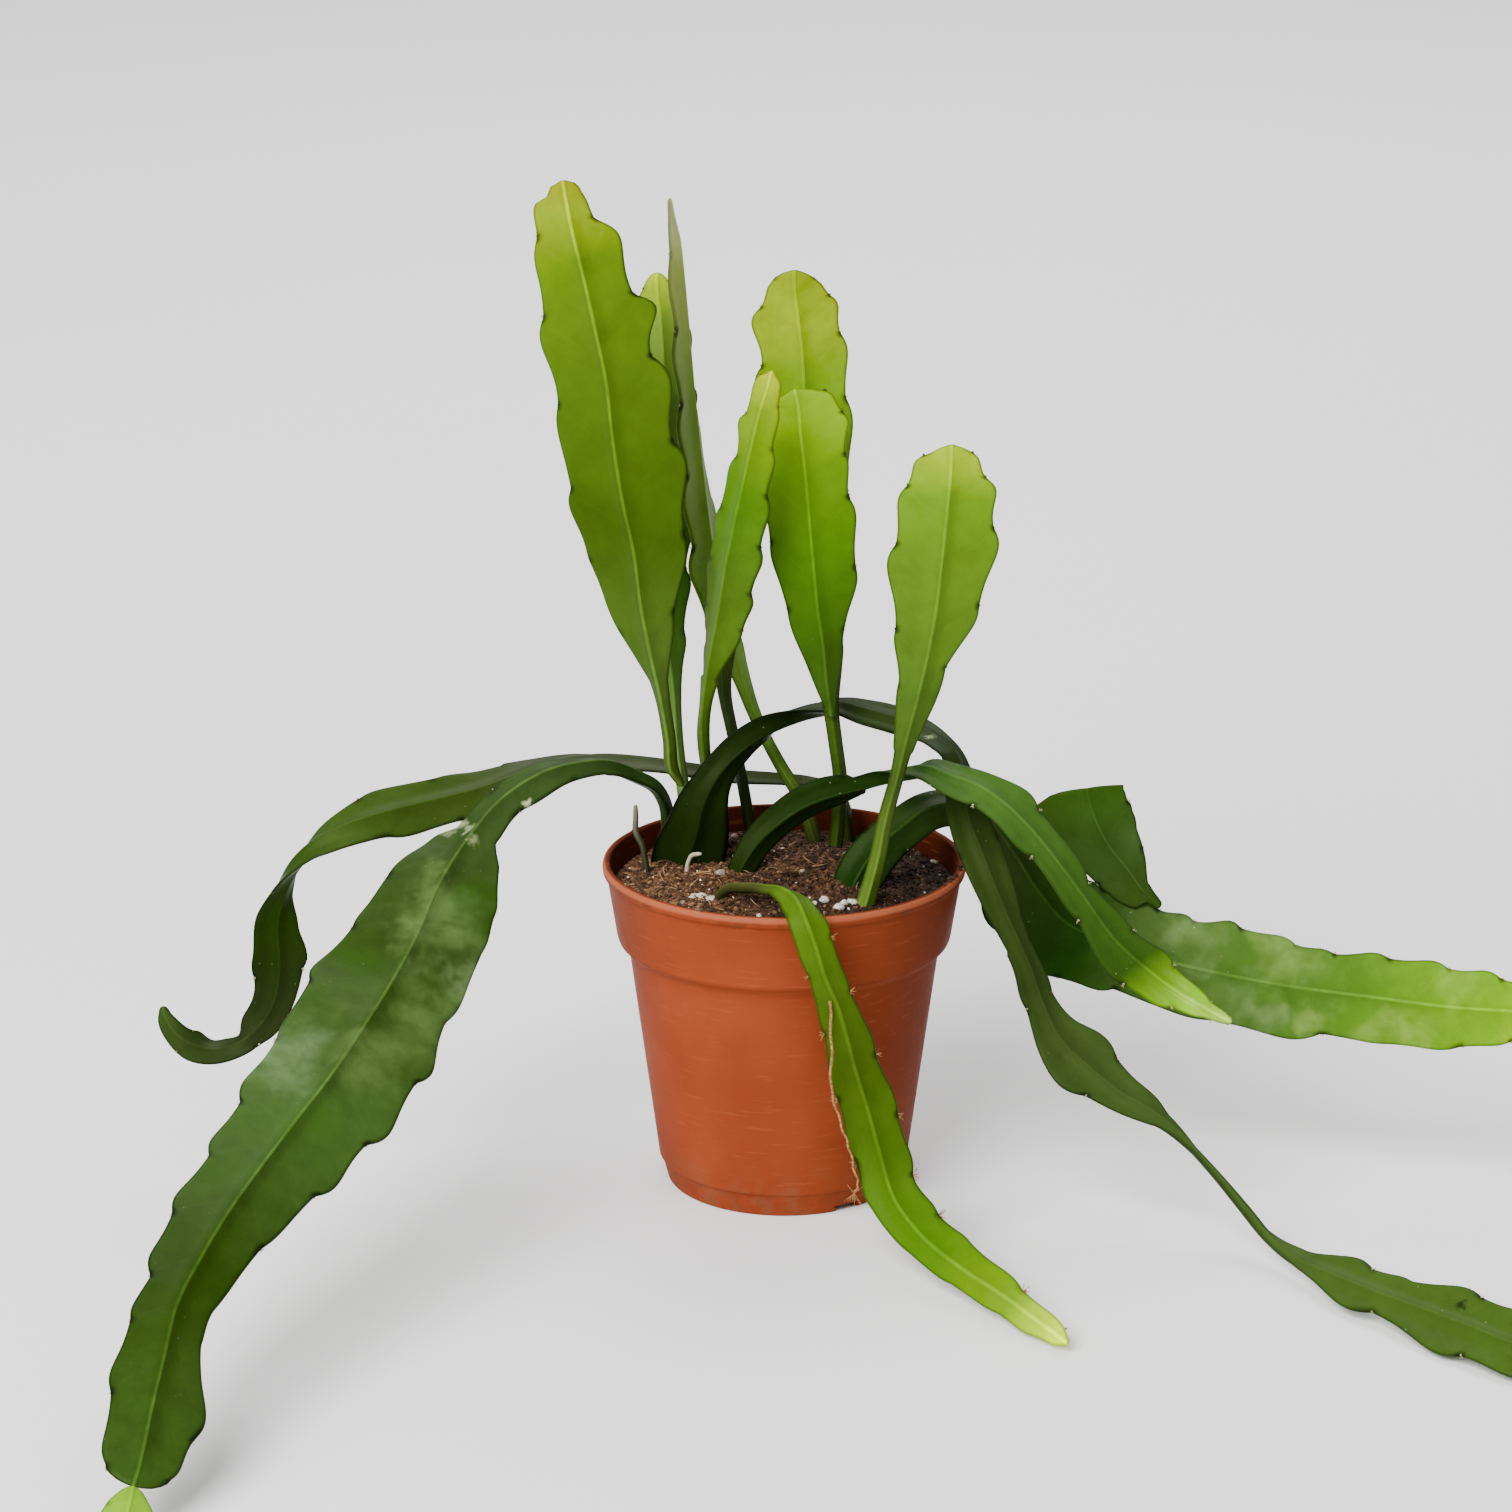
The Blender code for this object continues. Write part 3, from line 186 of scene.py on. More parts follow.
# Each station gives the midrib's x, y and z, the half width, and where the front face looks
# if that isn't as at the station before it. A first station looks to the front.
ARCHING_RIGHT = [
    (-32, 17, 94, 12.2), (-32, 17, 104, 12.4), (-29, 17, 115, 10.8), (-27, 17, 124, 8.8),
    (-24, 18, 131, 6.8, (0, -1, -0.1)), (-20, 20, 137, 6, (0.1, -1, -0.2)),
    (-14, 22, 143, 6.2, (0.1, -0.9, -0.4)), (-6, 25, 148, 6.4, (0, -0.8, -0.6)),
    (2, 28, 151, 6.4, (0, -0.5, -0.85)), (9, 29, 153, 6.2, (0, -0.2, -1)),
    (19, 29, 154, 6.2, (0, 0.2, -1)), (27, 26, 153, 6.4, (0, 0.4, -0.9)),
    (36, 21, 152, 6.6, (-0.1, 0.5, -0.85)), (45, 14, 150, 6.4, (-0.3, 0.5, -0.8)),
    (51, 7, 148, 6, (-0.55, 0.55, -0.6)), (55, 2, 145, 6, (-0.7, 0.6, -0.4)),
    (57, -3, 139, 6.5, (-0.6, 0.8, -0.2)), (59, -8, 130, 7, (-0.4, 0.9, 0)),
    (64, -14, 118, 7.4, (-0.3, 0.93, 0)), (69, -20, 106, 6.6, (-0.35, 0.93, 0)),
    (74, -24, 94, 5.2, (-0.5, 0.85, -0.1)), (78.5, -28, 84, 4.8, (-0.6, 0.75, -0.2)),
    (83, -32, 72.5, 6, (-0.5, 0.8, -0.3)), (89, -37, 62, 9.2, (-0.3, 0.85, -0.4)),
    (98, -42, 54, 9.6, (-0.3, 0.8, -0.5)), (109, -47, 46.5, 7.4), (118, -50, 42, 4.6),
    (125, -53, 37.5, 2), (132, -57, 31.5, 1.8), (140, -61, 23.5, 1.8),
    (148, -66, 15, 1.8, (-0.2, 0.8, -0.6)), (155, -76, 9, 2.2, (-0.1, 0.8, -0.6)),
    (161, -86, 6.5, 3.4, (0, 0.75, -0.65)), (172, -102, 7.2, 6), (184, -116, 7.5, 7.8),
    (196, -129, 8, 8.6), (209, -142, 8, 9.4), (222, -156, 8, 9), (233, -163, 7.5, 7.4),
    (242, -167, 6.5, 4.4), (246, -168, 6, 1.5),
]
ARCHING_CENTRE = [
    (-18, 4, 95, 4, (-0.2, -1, 0)), (-14, 5, 106, 4.6), (-9, 7, 114, 5.2, (-0.1, -1, -0.1)),
    (-2, 8, 121, 5.8, (0, -1, -0.2)), (6, 8, 127, 6.4, (0, -0.95, -0.3)),
    (16, 6, 132, 6.6, (0, -0.9, -0.4)), (25, 2, 136, 5.8, (0, -0.8, -0.6)),
    (33, -3, 140, 5, (0, -0.55, -0.85)), (40, -8, 143, 4.2, (0, -0.1, -1)),
    (47, -12, 145, 4.6, (-0.1, 0.4, -0.9)), (53, -16, 144, 6, (-0.2, 0.6, -0.8)),
    (62, -20, 142, 7.8, (-0.3, 0.7, -0.65)), (71, -25, 137, 8.6, (-0.35, 0.7, -0.6)),
    (81, -31, 128, 7.4, (-0.4, 0.7, -0.55)), (89, -37, 119, 6.2, (-0.45, 0.7, -0.5)), (97, -42, 109, 6.6),
    (105, -46, 99, 8, (-0.4, 0.75, -0.5)), (116, -50, 90, 8.6, (-0.3, 0.8, -0.5)),
    (127, -54, 83, 6.6, (-0.2, 0.85, -0.5)), (136, -57, 79, 4), (143, -59, 76, 1.3),
]
REACHING_RIGHT = [
    (20, -13, 95, 7.4, (-0.3, -0.9, 0.2)), (22.5, -12, 104, 7.8), (26, -10, 111, 8.2, (-0.2, -0.9, 0.3)),
    (31, -7, 117, 7.8, (-0.1, -0.85, 0.45)), (39, -3, 123, 7.2, (0, -0.8, 0.5)),
    (47, 2, 127, 7, (0, -0.75, 0.6)), (56, 7, 127, 7.2, (0.1, -0.7, 0.7)),
    (66, 11, 121, 8.4, (0.3, -0.75, 0.6)), (75, 14, 109, 11, (0.35, -0.85, 0.4)),
    (84, 15, 95, 14.5, (0.3, -0.9, 0.3)), (94, 14, 84, 16.4, (0.2, -0.95, 0.25)),
    (106, 11, 79, 16.6, (0.1, -0.95, 0.3)), (120, 6, 75.2, 16, (0, -0.93, 0.35)), (135, 2, 72.6, 16.4),
    (150, -2, 70.6, 16.4), (166, -6, 69, 14.6), (180, -9, 68, 13.6), (193, -11, 67, 14.6),
    (205, -13, 66, 15), (222, -16, 65, 13), (239, -19, 65, 11), (251, -21, 65, 9), (259, -22, 65.5, 5),
    (263, -23, 66, 1.5),
]
HANGING_LEFT = [
    (-40, 27, 93, 2.8, (0.8, 0.3, 0)), (-39, 27, 105, 2.8), (-39, 27, 114, 2.8, (0.8, 0.25, 0.1)),
    (-40, 26, 122, 3, (0.75, 0.2, 0.4)), (-43, 24, 128, 3.4, (0.5, 0.1, 0.8)),
    (-50, 21, 133, 3.8, (0.25, -0.1, 0.95)), (-59, 16, 138, 4.6, (0, -0.35, 0.93)),
    (-69, 11, 139, 6.2, (-0.05, -0.5, 0.87)), (-79, 5, 138, 8, (-0.1, -0.6, 0.8)),
    (-88, 0, 134, 8.4, (-0.2, -0.6, 0.75)), (-95, -5, 129, 7, (-0.3, -0.6, 0.7)),
    (-100, -10, 124, 5.6, (-0.3, -0.65, 0.7)), (-103.5, -14.5, 120.5, 8.5, (-0.2, -0.7, 0.7)),
    (-108, -23, 116, 13.5, (0, -0.65, 0.75)), (-112.5, -33, 110, 19, (0.1, -0.6, 0.8)),
    (-117, -46, 101.5, 21.5, (0.2, -0.55, 0.8)), (-123.5, -62, 92, 22.5, (0.25, -0.5, 0.82)),
    (-131.5, -84, 83.5, 22.6, (0.3, -0.45, 0.84)), (-140.5, -105, 74.5, 22.2), (-149.5, -125, 67.5, 20),
    (-157.5, -145, 61.5, 17), (-165.5, -168, 55.5, 13.4), (-172, -190, 49, 11, (0.3, -0.5, 0.8)),
    (-176.5, -209, 43, 11.3), (-178, -226, 35, 13.5, (0.25, -0.55, 0.8)),
    (-179.5, -242, 27, 14.5, (0.2, -0.6, 0.75)), (-180.5, -254, 20.5, 12.5), (-181.5, -262, 16, 8),
    (-182, -265, 14.5, 3.6),
]
CURLING_LEFT = [
    (22.5, 41, 95, 2.6, (0.8, 0.3, 0)), (21.5, 42, 109, 2.6), (20, 43, 116, 2.7, (0.8, 0.3, 0.4)),
    (16, 44, 121, 3, (0.6, 0.3, 0.7)), (9, 45, 123, 4, (0.2, 0.2, 1)), (-1, 46, 124, 5, (0, 0.05, 1)),
    (-17, 47, 125, 6.2, (0, 0, 1)), (-32, 48, 127, 6.6), (-49, 46, 130, 7),
    (-62, 42, 132, 7.5, (0, -0.05, 1)), (-75, 37, 132, 8, (0, -0.2, 0.95)),
    (-89, 32, 129, 8.5, (0, -0.45, 0.87)), (-100, 28, 126, 8.8, (0, -0.65, 0.75)),
    (-113, 23, 124, 9, (0, -0.75, 0.65)), (-128, 17, 122, 8.8), (-140, 13, 119.5, 8.2, (-0.1, -0.7, 0.7)),
    (-151, 11, 115, 7.2, (-0.4, -0.5, 0.75)), (-161.5, 9, 106.6, 6.2, (-0.8, 0, 0.5)),
    (-167.2, 7, 96.4, 6, (-0.7, 0.6, 0.2)), (-169, 5, 86, 6.8, (-0.4, 0.9, 0)), (-168.6, 4, 75, 7.2),
    (-170, 2, 62.5, 7, (-0.4, 0.9, -0.1)), (-175, 0, 52, 6.2, (-0.3, 0.8, -0.5)),
    (-182.5, -2, 45, 5.5, (0, 0.6, -0.8)), (-191, -4, 43.5, 5, (0, 0.5, -0.85)),
    (-199, -5, 47.5, 4.2, (0.2, 0.6, -0.7)), (-204.5, -5, 54.5, 2.8, (0.2, 0.7, -0.6)),
    (-206.5, -5, 60.5, 1.4),
]
TRAILING_FRONT = [
    (-23, -19.5, 94, 1.9, (-0.6, 0.6, 0.3)), (-22.4, -20, 102, 1.9, (-0.6, 0.6, 0.5)),
    (-19, -21.5, 107.4, 1.9, (-0.3, 0.2, 0.9)), (-12, -26, 109.8, 2, (-0.1, -0.1, 1)),
    (-5, -36, 112.6, 2.6, (0, -0.35, 0.9)), (0, -49, 116, 3.8, (0.1, -0.5, 0.85)),
    (4, -59, 116, 5, (0.1, -0.6, 0.8)), (7, -66, 112, 6.2, (0.1, -0.85, 0.5)),
    (10, -69, 105, 6, (0.1, -1, 0.15)), (13, -69, 95, 4.8, (0.1, -1, 0)), (17, -68, 85, 5.4),
    (20, -67, 74, 7), (23, -66, 62, 8.5, (0.05, -1, 0.1)), (27, -67, 49, 9.2, (0, -1, 0.15)),
    (31, -71, 35, 8.8, (0, -0.95, 0.3)), (35, -78, 24, 8.2, (-0.1, -0.9, 0.4)),
    (43, -89, 16, 7.8, (-0.2, -0.8, 0.5)), (55, -104, 11, 7.2, (-0.25, -0.75, 0.6)), (69, -121, 8, 6.4),
    (79, -134, 5.5, 4.6), (85, -142, 4, 2.4), (87, -145, 3.5, 1.2),
]
# How thick each stem's rib and margins are, and how its margins are toothed. Where the notches of
# a margin are known, each has its distance along, its width, and the bulge before it.
ARCHING_RIGHT_FORM = dict(
    rib=5, edge=1.8, phase=0.3, pitch=27,
    left=[(205, 5.8, 0), (224, 6, 1), (256, 8.2, 4.2), (280, 3, 0.8), (294, 1.2, 0), (330, 1.8, 0.2),
          (346, 1.6, 0), (386, 6.5, 3.2), (424, 10.1, 3.2), (446, 8.4, 1.6), (458, 4, 1)],
    right=[(205, 5.2, 0), (222, 5.8, 0.8), (256, 9, 3.4), (280, 3, 0.8), (294, 1.2, 0), (330, 1.8, 0.2),
           (348, 4.8, 0.4), (377, 7.3, 2.2), (393, 7.7, 0.6), (418, 10.6, 1.8), (442, 8.8, 1.6),
           (458, 4, 1)],
)
ARCHING_CENTRE_FORM = dict(
    rib=4.6, edge=1.7, phase=0.7, pitch=26,
    left=[(62, 4, 0), (84, 5.6, 0.6), (112, 7.4, 1.2), (139, 6.4, 1.8), (164, 6.6, 1), (187, 9.4, 1.8),
          (203, 5.2, 1.4), (213, 3, 0.4), (221, 1.2, 0.3)],
    right=[(62, 4, 0), (105, 6.2, 0.6), (128, 7.8, 2.2), (156, 5.8, 1.4), (178, 7.8, 1), (196, 7.2, 1.4),
           (213, 3, 0.8), (221, 1.2, 0.3)],
)
REACHING_RIGHT_FORM = dict(
    rib=4.6, edge=1.7, phase=0.4, pitch=17.5, depth=2,
    left=[(62, 8, 0), (80, 11.5, 1), (102, 15.2, 1.4), (124, 15.8, 1.4), (145, 16.2, 1.2),
          (159, 15.3, 1.4), (175, 16.4, 2), (195, 13.9, 1.6), (208, 12.7, 0.9), (226, 13.6, 1.5),
          (246, 12.7, 1.8), (264, 10.6, 1.8), (278, 6.4, 1)],
    right=[(62, 8, 0), (84, 13.5, 2.2), (104, 18.6, 2), (122, 17.4, 1.2), (139.5, 13.8, 1.4),
           (171, 15.8, 1.1), (207, 14.1, 2.7), (229, 14.6, 0.5), (252, 12.7, 1.2), (268, 10, 0.8),
           (278, 6.4, 0.6)],
)
HANGING_LEFT_FORM = dict(
    rib=4.6, edge=1.7, phase=0.5, pitch=24, depth=3.6,
    left=[(58, 4.2, 0), (95, 6.8, 1.2), (111, 8, 0.3), (120, 14, 0.4), (136, 20, 0.5), (153, 21, 0.6),
          (181, 20.9, 1.4), (208, 23, 3), (238, 21.3, 3), (268, 18.1, 2.4), (300, 13.8, 0.8),
          (333, 10.4, 0.3), (349, 10.1, 0.2), (383, 13.4, 3.2), (398, 8.5, 1.4)],
    right=[(58, 4.2, 0), (95, 7, 0.8), (111, 8, 0.3), (117, 12.8, 0.3), (138, 17.6, 0.8),
           (162, 20.4, 0.8), (190, 23.3, 2.6), (219, 21.7, 0.8), (249.5, 18.2, 2.6), (275, 15.7, 2),
           (303, 14.6, 2), (330, 10.6, 2.2), (346, 11.6, 0.8), (372, 12.4, 1.8), (398, 8.5, 2)],
)
CURLING_LEFT_FORM = dict(
    phase=0.2, pitch=26,
    left=[(140, 7.8, 0), (160, 8.6, 1), (186, 8, 1.2), (212, 5.8, 0.5), (230, 6.2, 0), (240, 8, 0.3),
          (259, 8.6, 1.2), (284, 2.9, 1.8), (290, 4.6, 0), (306, 4.6, 1.2), (318, 1.8, 0.4)],
    right=[(140, 7.8, 0), (164, 8.8, 0.6), (191, 8.9, 1.2), (214, 5.8, 1), (230, 5, 0), (241, 7.4, 0.2),
           (256, 8.6, 1.6), (281, 4.5, 0.8), (306, 4.8, 1.2), (318, 2.2, 0.5)],
)
TRAILING_FRONT_FORM = dict(
    rib=3.6, edge=1.4, pitch=22, depth=2,
    left=[(60, 5.2, 0), (77, 5.8, 0.9), (97, 5.4, 0.8), (120, 7.6, 1), (141, 8.8, 1), (161, 8.2, 1.2),
          (181, 8.5, 0.8), (199, 8.4, 0.6), (227, 5.1, 1), (249, 3.2, 0.8), (253, 1.4, 0)],
    right=[(60, 5.2, 0), (87, 5, 0.9), (108, 6.8, 0.8), (131, 8.4, 0.9), (152, 8.2, 1), (166, 8.2, 0.6),
           (184, 6.7, 0.3), (203, 5.7, 0.5), (224, 5.4, 0.5), (240, 4.8, 0.5), (253, 1.4, 0.8)],
)
LEFT_TALL_FORM = dict(
    left=[(44, 3.4, 0), (71, 12.9, 0.3), (90, 17.2, 0.5), (112, 17.8, 2.2), (139, 18, 1.3),
          (171, 16.5, 2.8), (197, 11.5, 1.6), (206.8, 10.4, 0.4), (208.6, 5.6, 0), (211.5, 4.2, 0.2)],
    right=[(44, 3.4, 0), (66, 9.6, 0.4), (93, 17, 0.9), (125, 18.6, 3.6), (153, 15.2, 3.8),
           (173, 13.9, 5.6), (199, 7.6, 4.6), (207, 5.8, 0.2), (211.5, 3.8, 0.3)],
)
CENTRE_LEANING_FORM = dict(
    phase=0.56, pitch=18, fold=0.22,
    left=[(75, 2.3, 0), (88, 4, 0.5), (102, 6.4, 0.8), (119, 8, 1), (138, 7.9, 1.2), (157, 6, 1.6),
          (172, 5.9, 2.4), (186, 4.2, 1)],
    right=[(75, 2.4, 0), (98, 8.4, 0.8), (112, 9.2, 1.2), (130, 9.4, 1.4), (148, 7.9, 1.4),
           (164, 6.2, 1.2), (178, 4.8, 0.8), (186, 3.4, 0.4)],
)
BACK_CENTRE_FORM = dict(
    phase=0.21, pitch=19.7, depth=2.2,
    left=[(62, 2.7, 0), (84, 5.5, 0.6), (104, 9, 1), (124, 12.2, 1.4), (143, 13.4, 1.5), (155, 13.2, 1.4),
          (177, 13.6, 2.6), (198, 11.5, 3.4), (206, 6.2, 1)],
    right=[(62, 2.7, 0), (84, 5.6, 0.6), (106, 9.6, 1), (133, 12.8, 1.8), (165, 13.4, 2.2),
           (186, 12.9, 1.8), (199, 11, 1.8), (206, 6.4, 0.8)],
)
FRONT_CENTRE_FORM = dict(
    phase=0.03, pitch=21,
    left=[(3, 1.9, 0), (39, 10.1, 1.2), (62, 13.5, 1), (84, 13.5, 1.2), (99, 12.4, 1.2), (110, 9.6, 0.8)],
    right=[(3, 1.9, 0), (26.5, 6.6, 0.6), (51, 13.7, 1.6), (75, 13.2, 2), (89, 13.6, 0.8), (104, 14, 2),
           (110, 9.6, 0.8)],
)
RIGHT_UPRIGHT_FORM = dict(
    phase=0.06, pitch=18, depth=2.4,
    left=[(60, 3.2, 0), (83, 7.1, 0.6), (99, 11.7, 0.8), (127.5, 15.2, 3), (147, 13.5, 2),
          (158, 9.2, 1.4)],
    right=[(60, 3.2, 0), (90, 6.8, 0.8), (110.5, 13.8, 1.4), (135.5, 15.6, 2.8), (152, 11, 3),
           (159, 7, 0.8)],
)
DARK_BLUNT_FORM = dict(
    pitch=15, depth=1.8,
    left=[(5, 6, 0), (12, 9.5, 0.2), (19, 11, 0.2), (27, 12, 0), (33, 14, 0), (40, 18.4, 0.4),
          (46, 17.4, 0.6)],
    right=[(8, 2.4, 0), (24, 10.4, 0.5), (33, 12.8, 0.3), (39, 12.8, 0.5), (46, 12, 0.5)],
)
# The stem that buds on the arching one stands on its left margin, this far along it.
LEFT_TALL_BUD = 34
LEFT_TALL = [
    (-37, 14.5, 137, 2.2, (-0.2, -1, 0)), (-38, 10, 149, 2.3), (-40, 6, 164, 2.6, (-0.25, -1, 0)),
    (-43, 2, 180, 5), (-46, 0, 197, 11.5), (-48, -2, 215, 16), (-51.5, -3, 233, 18.3, (-0.25, -1, 0.05)),
    (-54.5, -4, 253, 18.3, (-0.2, -1, 0.05)), (-56.5, -5, 273, 17.2),
    (-60, -6, 291, 16.2, (-0.15, -1, 0.05)), (-63.5, -6, 307, 14, (-0.1, -1, 0.05)),
    (-67, -5, 321, 10.6, (0, -1, 0.1)), (-69, -4, 331, 7), (-70, -4, 337, 2),
]
BACK_EDGE_ON = [
    (13, 33, 96, 2.4), (10, 34, 107, 2.4), (5, 36, 121, 2.4), (-1, 37, 131, 2.2),
    (-9, 38, 147, 2.2, (0.3, -1, 0)), (-15, 37, 165, 3.5, (0.5, -0.9, 0)),
    (-21, 35, 186, 7.5, (0.7, -0.7, 0)), (-25, 33, 208, 9.5, (0.85, -0.5, 0)),
    (-28.5, 31, 236, 10.5, (0.96, -0.28, 0)), (-31, 28, 262, 10.5, (0.98, -0.2, 0)), (-33, 25, 288, 9),
    (-35, 22, 311, 5.5, (0.96, -0.28, 0)), (-37, 20, 327, 1.2),
]
BACK_LEFT = [
    (-31, 34, 96, 2.4), (-32, 34, 106, 2.4), (-34, 34, 124, 2.2), (-36, 35, 141, 2.2),
    (-37, 37, 158, 2.6), (-39, 40, 175, 6), (-40, 44, 195, 8), (-40, 48, 222, 9.5), (-40, 50, 245, 9.5),
    (-40, 51, 265, 9.5), (-41, 51, 282, 7.5), (-42, 50, 292, 5), (-42, 50, 297, 1.5),
]
HIDDEN_BACK = [
    (-10, 37, 96, 2), (-11, 36, 106, 2), (-14, 34, 126, 2), (-17, 31, 143, 2), (-20, 27, 161, 2.4),
    (-20, 23, 180, 4.5), (-18, 20, 201, 5.5), (-15, 17, 218, 4), (-14, 16, 226, 1.3),
]
CENTRE_LEANING = [
    (-20, 31, 96, 2.2), (-21, 30, 108, 2.2), (-24, 28, 124, 2), (-26, 25, 135, 2),
    (-27, 22, 146, 2.2, (-0.2, -1, 0)), (-26, 16, 161, 2.4, (-0.4, -0.9, 0)),
    (-24, 12, 175, 4.6, (-0.5, -0.87, 0)), (-21, 7, 192, 7.4), (-18.5, 2, 209, 9), (-14.5, -3, 230, 8.6),
    (-10.5, -6, 249, 7), (-7, -8, 265, 5.2, (-0.45, -0.9, 0)), (-5, -8, 273, 3.2, (-0.4, -0.9, 0)),
    (-4, -8, 277, 1.2),
]
BACK_CENTRE = [
    (16, 20, 96, 2.4), (17, 19.5, 107, 2.4), (18, 18.5, 118, 2.4), (18.5, 17.5, 133, 2.4),
    (17, 17.5, 145, 2.4), (15.5, 18.5, 156, 2.6), (14, 23, 172, 4.5), (11, 27, 192, 8),
    (9, 29, 212, 11.5), (7.5, 29, 236, 13.2), (6.5, 28, 259, 14), (5.5, 27, 276, 14.2), (4, 26, 289, 13),
    (3, 25, 298, 9), (3, 24, 303, 2),
]
FRONT_CENTRE = [
    (15.5, 15, 155, 1.4, (0, -1, 0.2)), (15, 14, 160, 2.4, FRONT), (14, 13.2, 167, 3.6),
    (13, 12.8, 178, 6.8), (11, 12.5, 192, 10.2), (9.5, 12, 207, 13.5), (8, 12, 223, 14.6),
    (6.5, 11, 240, 14), (5, 10, 253, 13.4), (4, 10, 263, 10), (3, 10, 267, 2),
]
RIGHT_UPRIGHT = [
    (24, -25, 96, 3.2), (27, -25, 106, 3.1), (30, -25, 118, 2.8), (33, -24, 134, 2.5),
    (36.5, -22, 147, 2.4), (39, -21, 158, 3.2), (42.5, -19, 171, 5.6), (45.5, -17, 184, 8.6),
    (48, -15, 197, 12.5), (50, -13, 213, 16), (51.5, -12, 229, 16), (52.5, -12, 241, 13.2),
    (53, -12, 249, 9.5), (53, -12, 254, 2),
]
# The blunt stem buds on the left margin of the one that reaches right, this far along it.
DARK_BLUNT_BUD = 146
DARK_BLUNT = [
    (119, 15.5, 96, 3.4, (0.1, -1, 0.1)), (114.5, 19, 101.5, 7.6), (108, 23, 109, 11.4),
    (104.4, 26, 115.5, 15), (102.4, 28, 121, 15), (101.6, 29, 124.6, 14), (101.4, 29, 126.4, 9),
]
# The young shoot starts at the tip of the hanging stem and lies down on the surface.
YOUNG_SHOOT = [
    (-182.5, -271, 11, 7, (0.15, -0.55, 0.8)), (-183.5, -278, 7.2, 8.6, (0.05, -0.35, 0.93)),
    (-184.5, -285, 4.5, 7.6, (0, -0.3, 0.95)), (-185, -291, 3, 5, (0, -0.2, 1)), (-185, -295, 2.4, 1.6),
]
DRY_SHOOT = [
    (-45, 8, 97, 1.1), (-46, 8, 107, 1.1), (-47, 7, 113, 1), (-49, 6, 118, 1), (-49, 5, 124, 0.9),
    (-49, 5, 128, 0.7),
]
WHITE_ROOT = [(-32, 8.5, 98), (-32, 8.5, 106), (-30.5, 7.6, 109.5), (-27.5, 6.6, 110.4)]


def smooth_curve(points, samples=24):
    """Rows on a smooth curve through rows of numbers, whose first three columns are the place."""
    p = np.asarray(points, float)
    step = np.linalg.norm(np.diff(p[:, :3], axis=0), axis=1)[:, None]
    slope = np.diff(p, axis=0) / step
    tangent = np.empty_like(p)
    tangent[0], tangent[-1] = slope[0], slope[-1]
    tangent[1:-1] = (slope[:-1] * step[1:] + slope[1:] * step[:-1]) / (step[:-1] + step[1:])
    rows = []
    for i, length in enumerate(step):
        for k in range(samples):
            u = k / samples
            rows.append(
                (2 * u**3 - 3 * u**2 + 1) * p[i]
                + (u**3 - 2 * u**2 + u) * length * tangent[i]
                + (3 * u**2 - 2 * u**3) * p[i + 1]
                + (u**3 - u**2) * length * tangent[i + 1]
            )
    rows.append(p[-1])
    return np.array(rows)


def unit(rows):
    """Rows of vectors, each made one long."""
    return rows / np.linalg.norm(rows, axis=-1, keepdims=True)


def fine_stations(stations):
    """The stations as a fine smooth curve, and how far along the midrib each of its rows is."""
    rows, face = [], FRONT
    for x, y, z, half, *turned in stations:
        face = turned[0] if turned else face
        rows.append([x, y, z, half, *face])
    fine = smooth_curve(rows)
    run = np.concatenate([[0.0], np.cumsum(np.linalg.norm(np.diff(fine[:, :3], axis=0), axis=1))])
    return fine, run


def frames(fine, run, places):
    """Midrib points, half widths, directions along and across, and facing, at distances along a stem."""
    rows = np.stack([np.interp(places, run, fine[:, column]) for column in range(7)], 1)
    ahead = np.stack([np.interp(places + STEP, run, fine[:, column]) for column in range(3)], 1)
    behind = np.stack([np.interp(places - STEP, run, fine[:, column]) for column in range(3)], 1)
    along = unit(ahead - behind)
    face = unit(rows[:, 4:] - (rows[:, 4:] * along).sum(1)[:, None] * along)
    return rows[:, :3], rows[:, 3], along, np.cross(along, face), face


def tooth(turns):
    """The margin's lobe, from 0 in the notch to 1 at its shoulder, once a turn."""
    return np.sin(np.pi * (turns % 1.0) ** TOOTH_LEAN)


def margin_line(places, half, notches):
    """A margin through its notches, bulging between them; beyond them it follows the half width."""
    spots = np.array(notches, float)
    after = np.clip(np.searchsorted(spots[:, 0], places), 1, len(spots) - 1)
    reach = spots[after, 0] - spots[after - 1, 0]
    share = np.clip((places - spots[after - 1, 0]) / reach, 0.0, 1.0)
    line = spots[after - 1, 1] * (1.0 - share) + spots[after, 1] * share
    line = line + spots[after, 2] * np.sin(np.pi * share**TOOTH_LEAN)
    known = (places >= spots[0, 0]) & (places <= spots[-1, 0])
    return np.where(known, line, half)


def margins(half, places, pitch=PITCH, depth=DEPTH, phase=0.0, left=None, right=None, **rest):
    """How far the left and the right margin stand out from the midrib."""
    strength = np.clip((half - TOOTH_FROM) / (TOOTH_FULL - TOOTH_FROM), 0.0, 1.0)
    one = half + depth * strength * (tooth(places / pitch + phase) - 0.5)
    other = half + depth * strength * (tooth(places / pitch + phase + 0.5) - 0.5)
    if left:
        one = margin_line(places, half, left)
        other = margin_line(places, half, right)
    return one, other


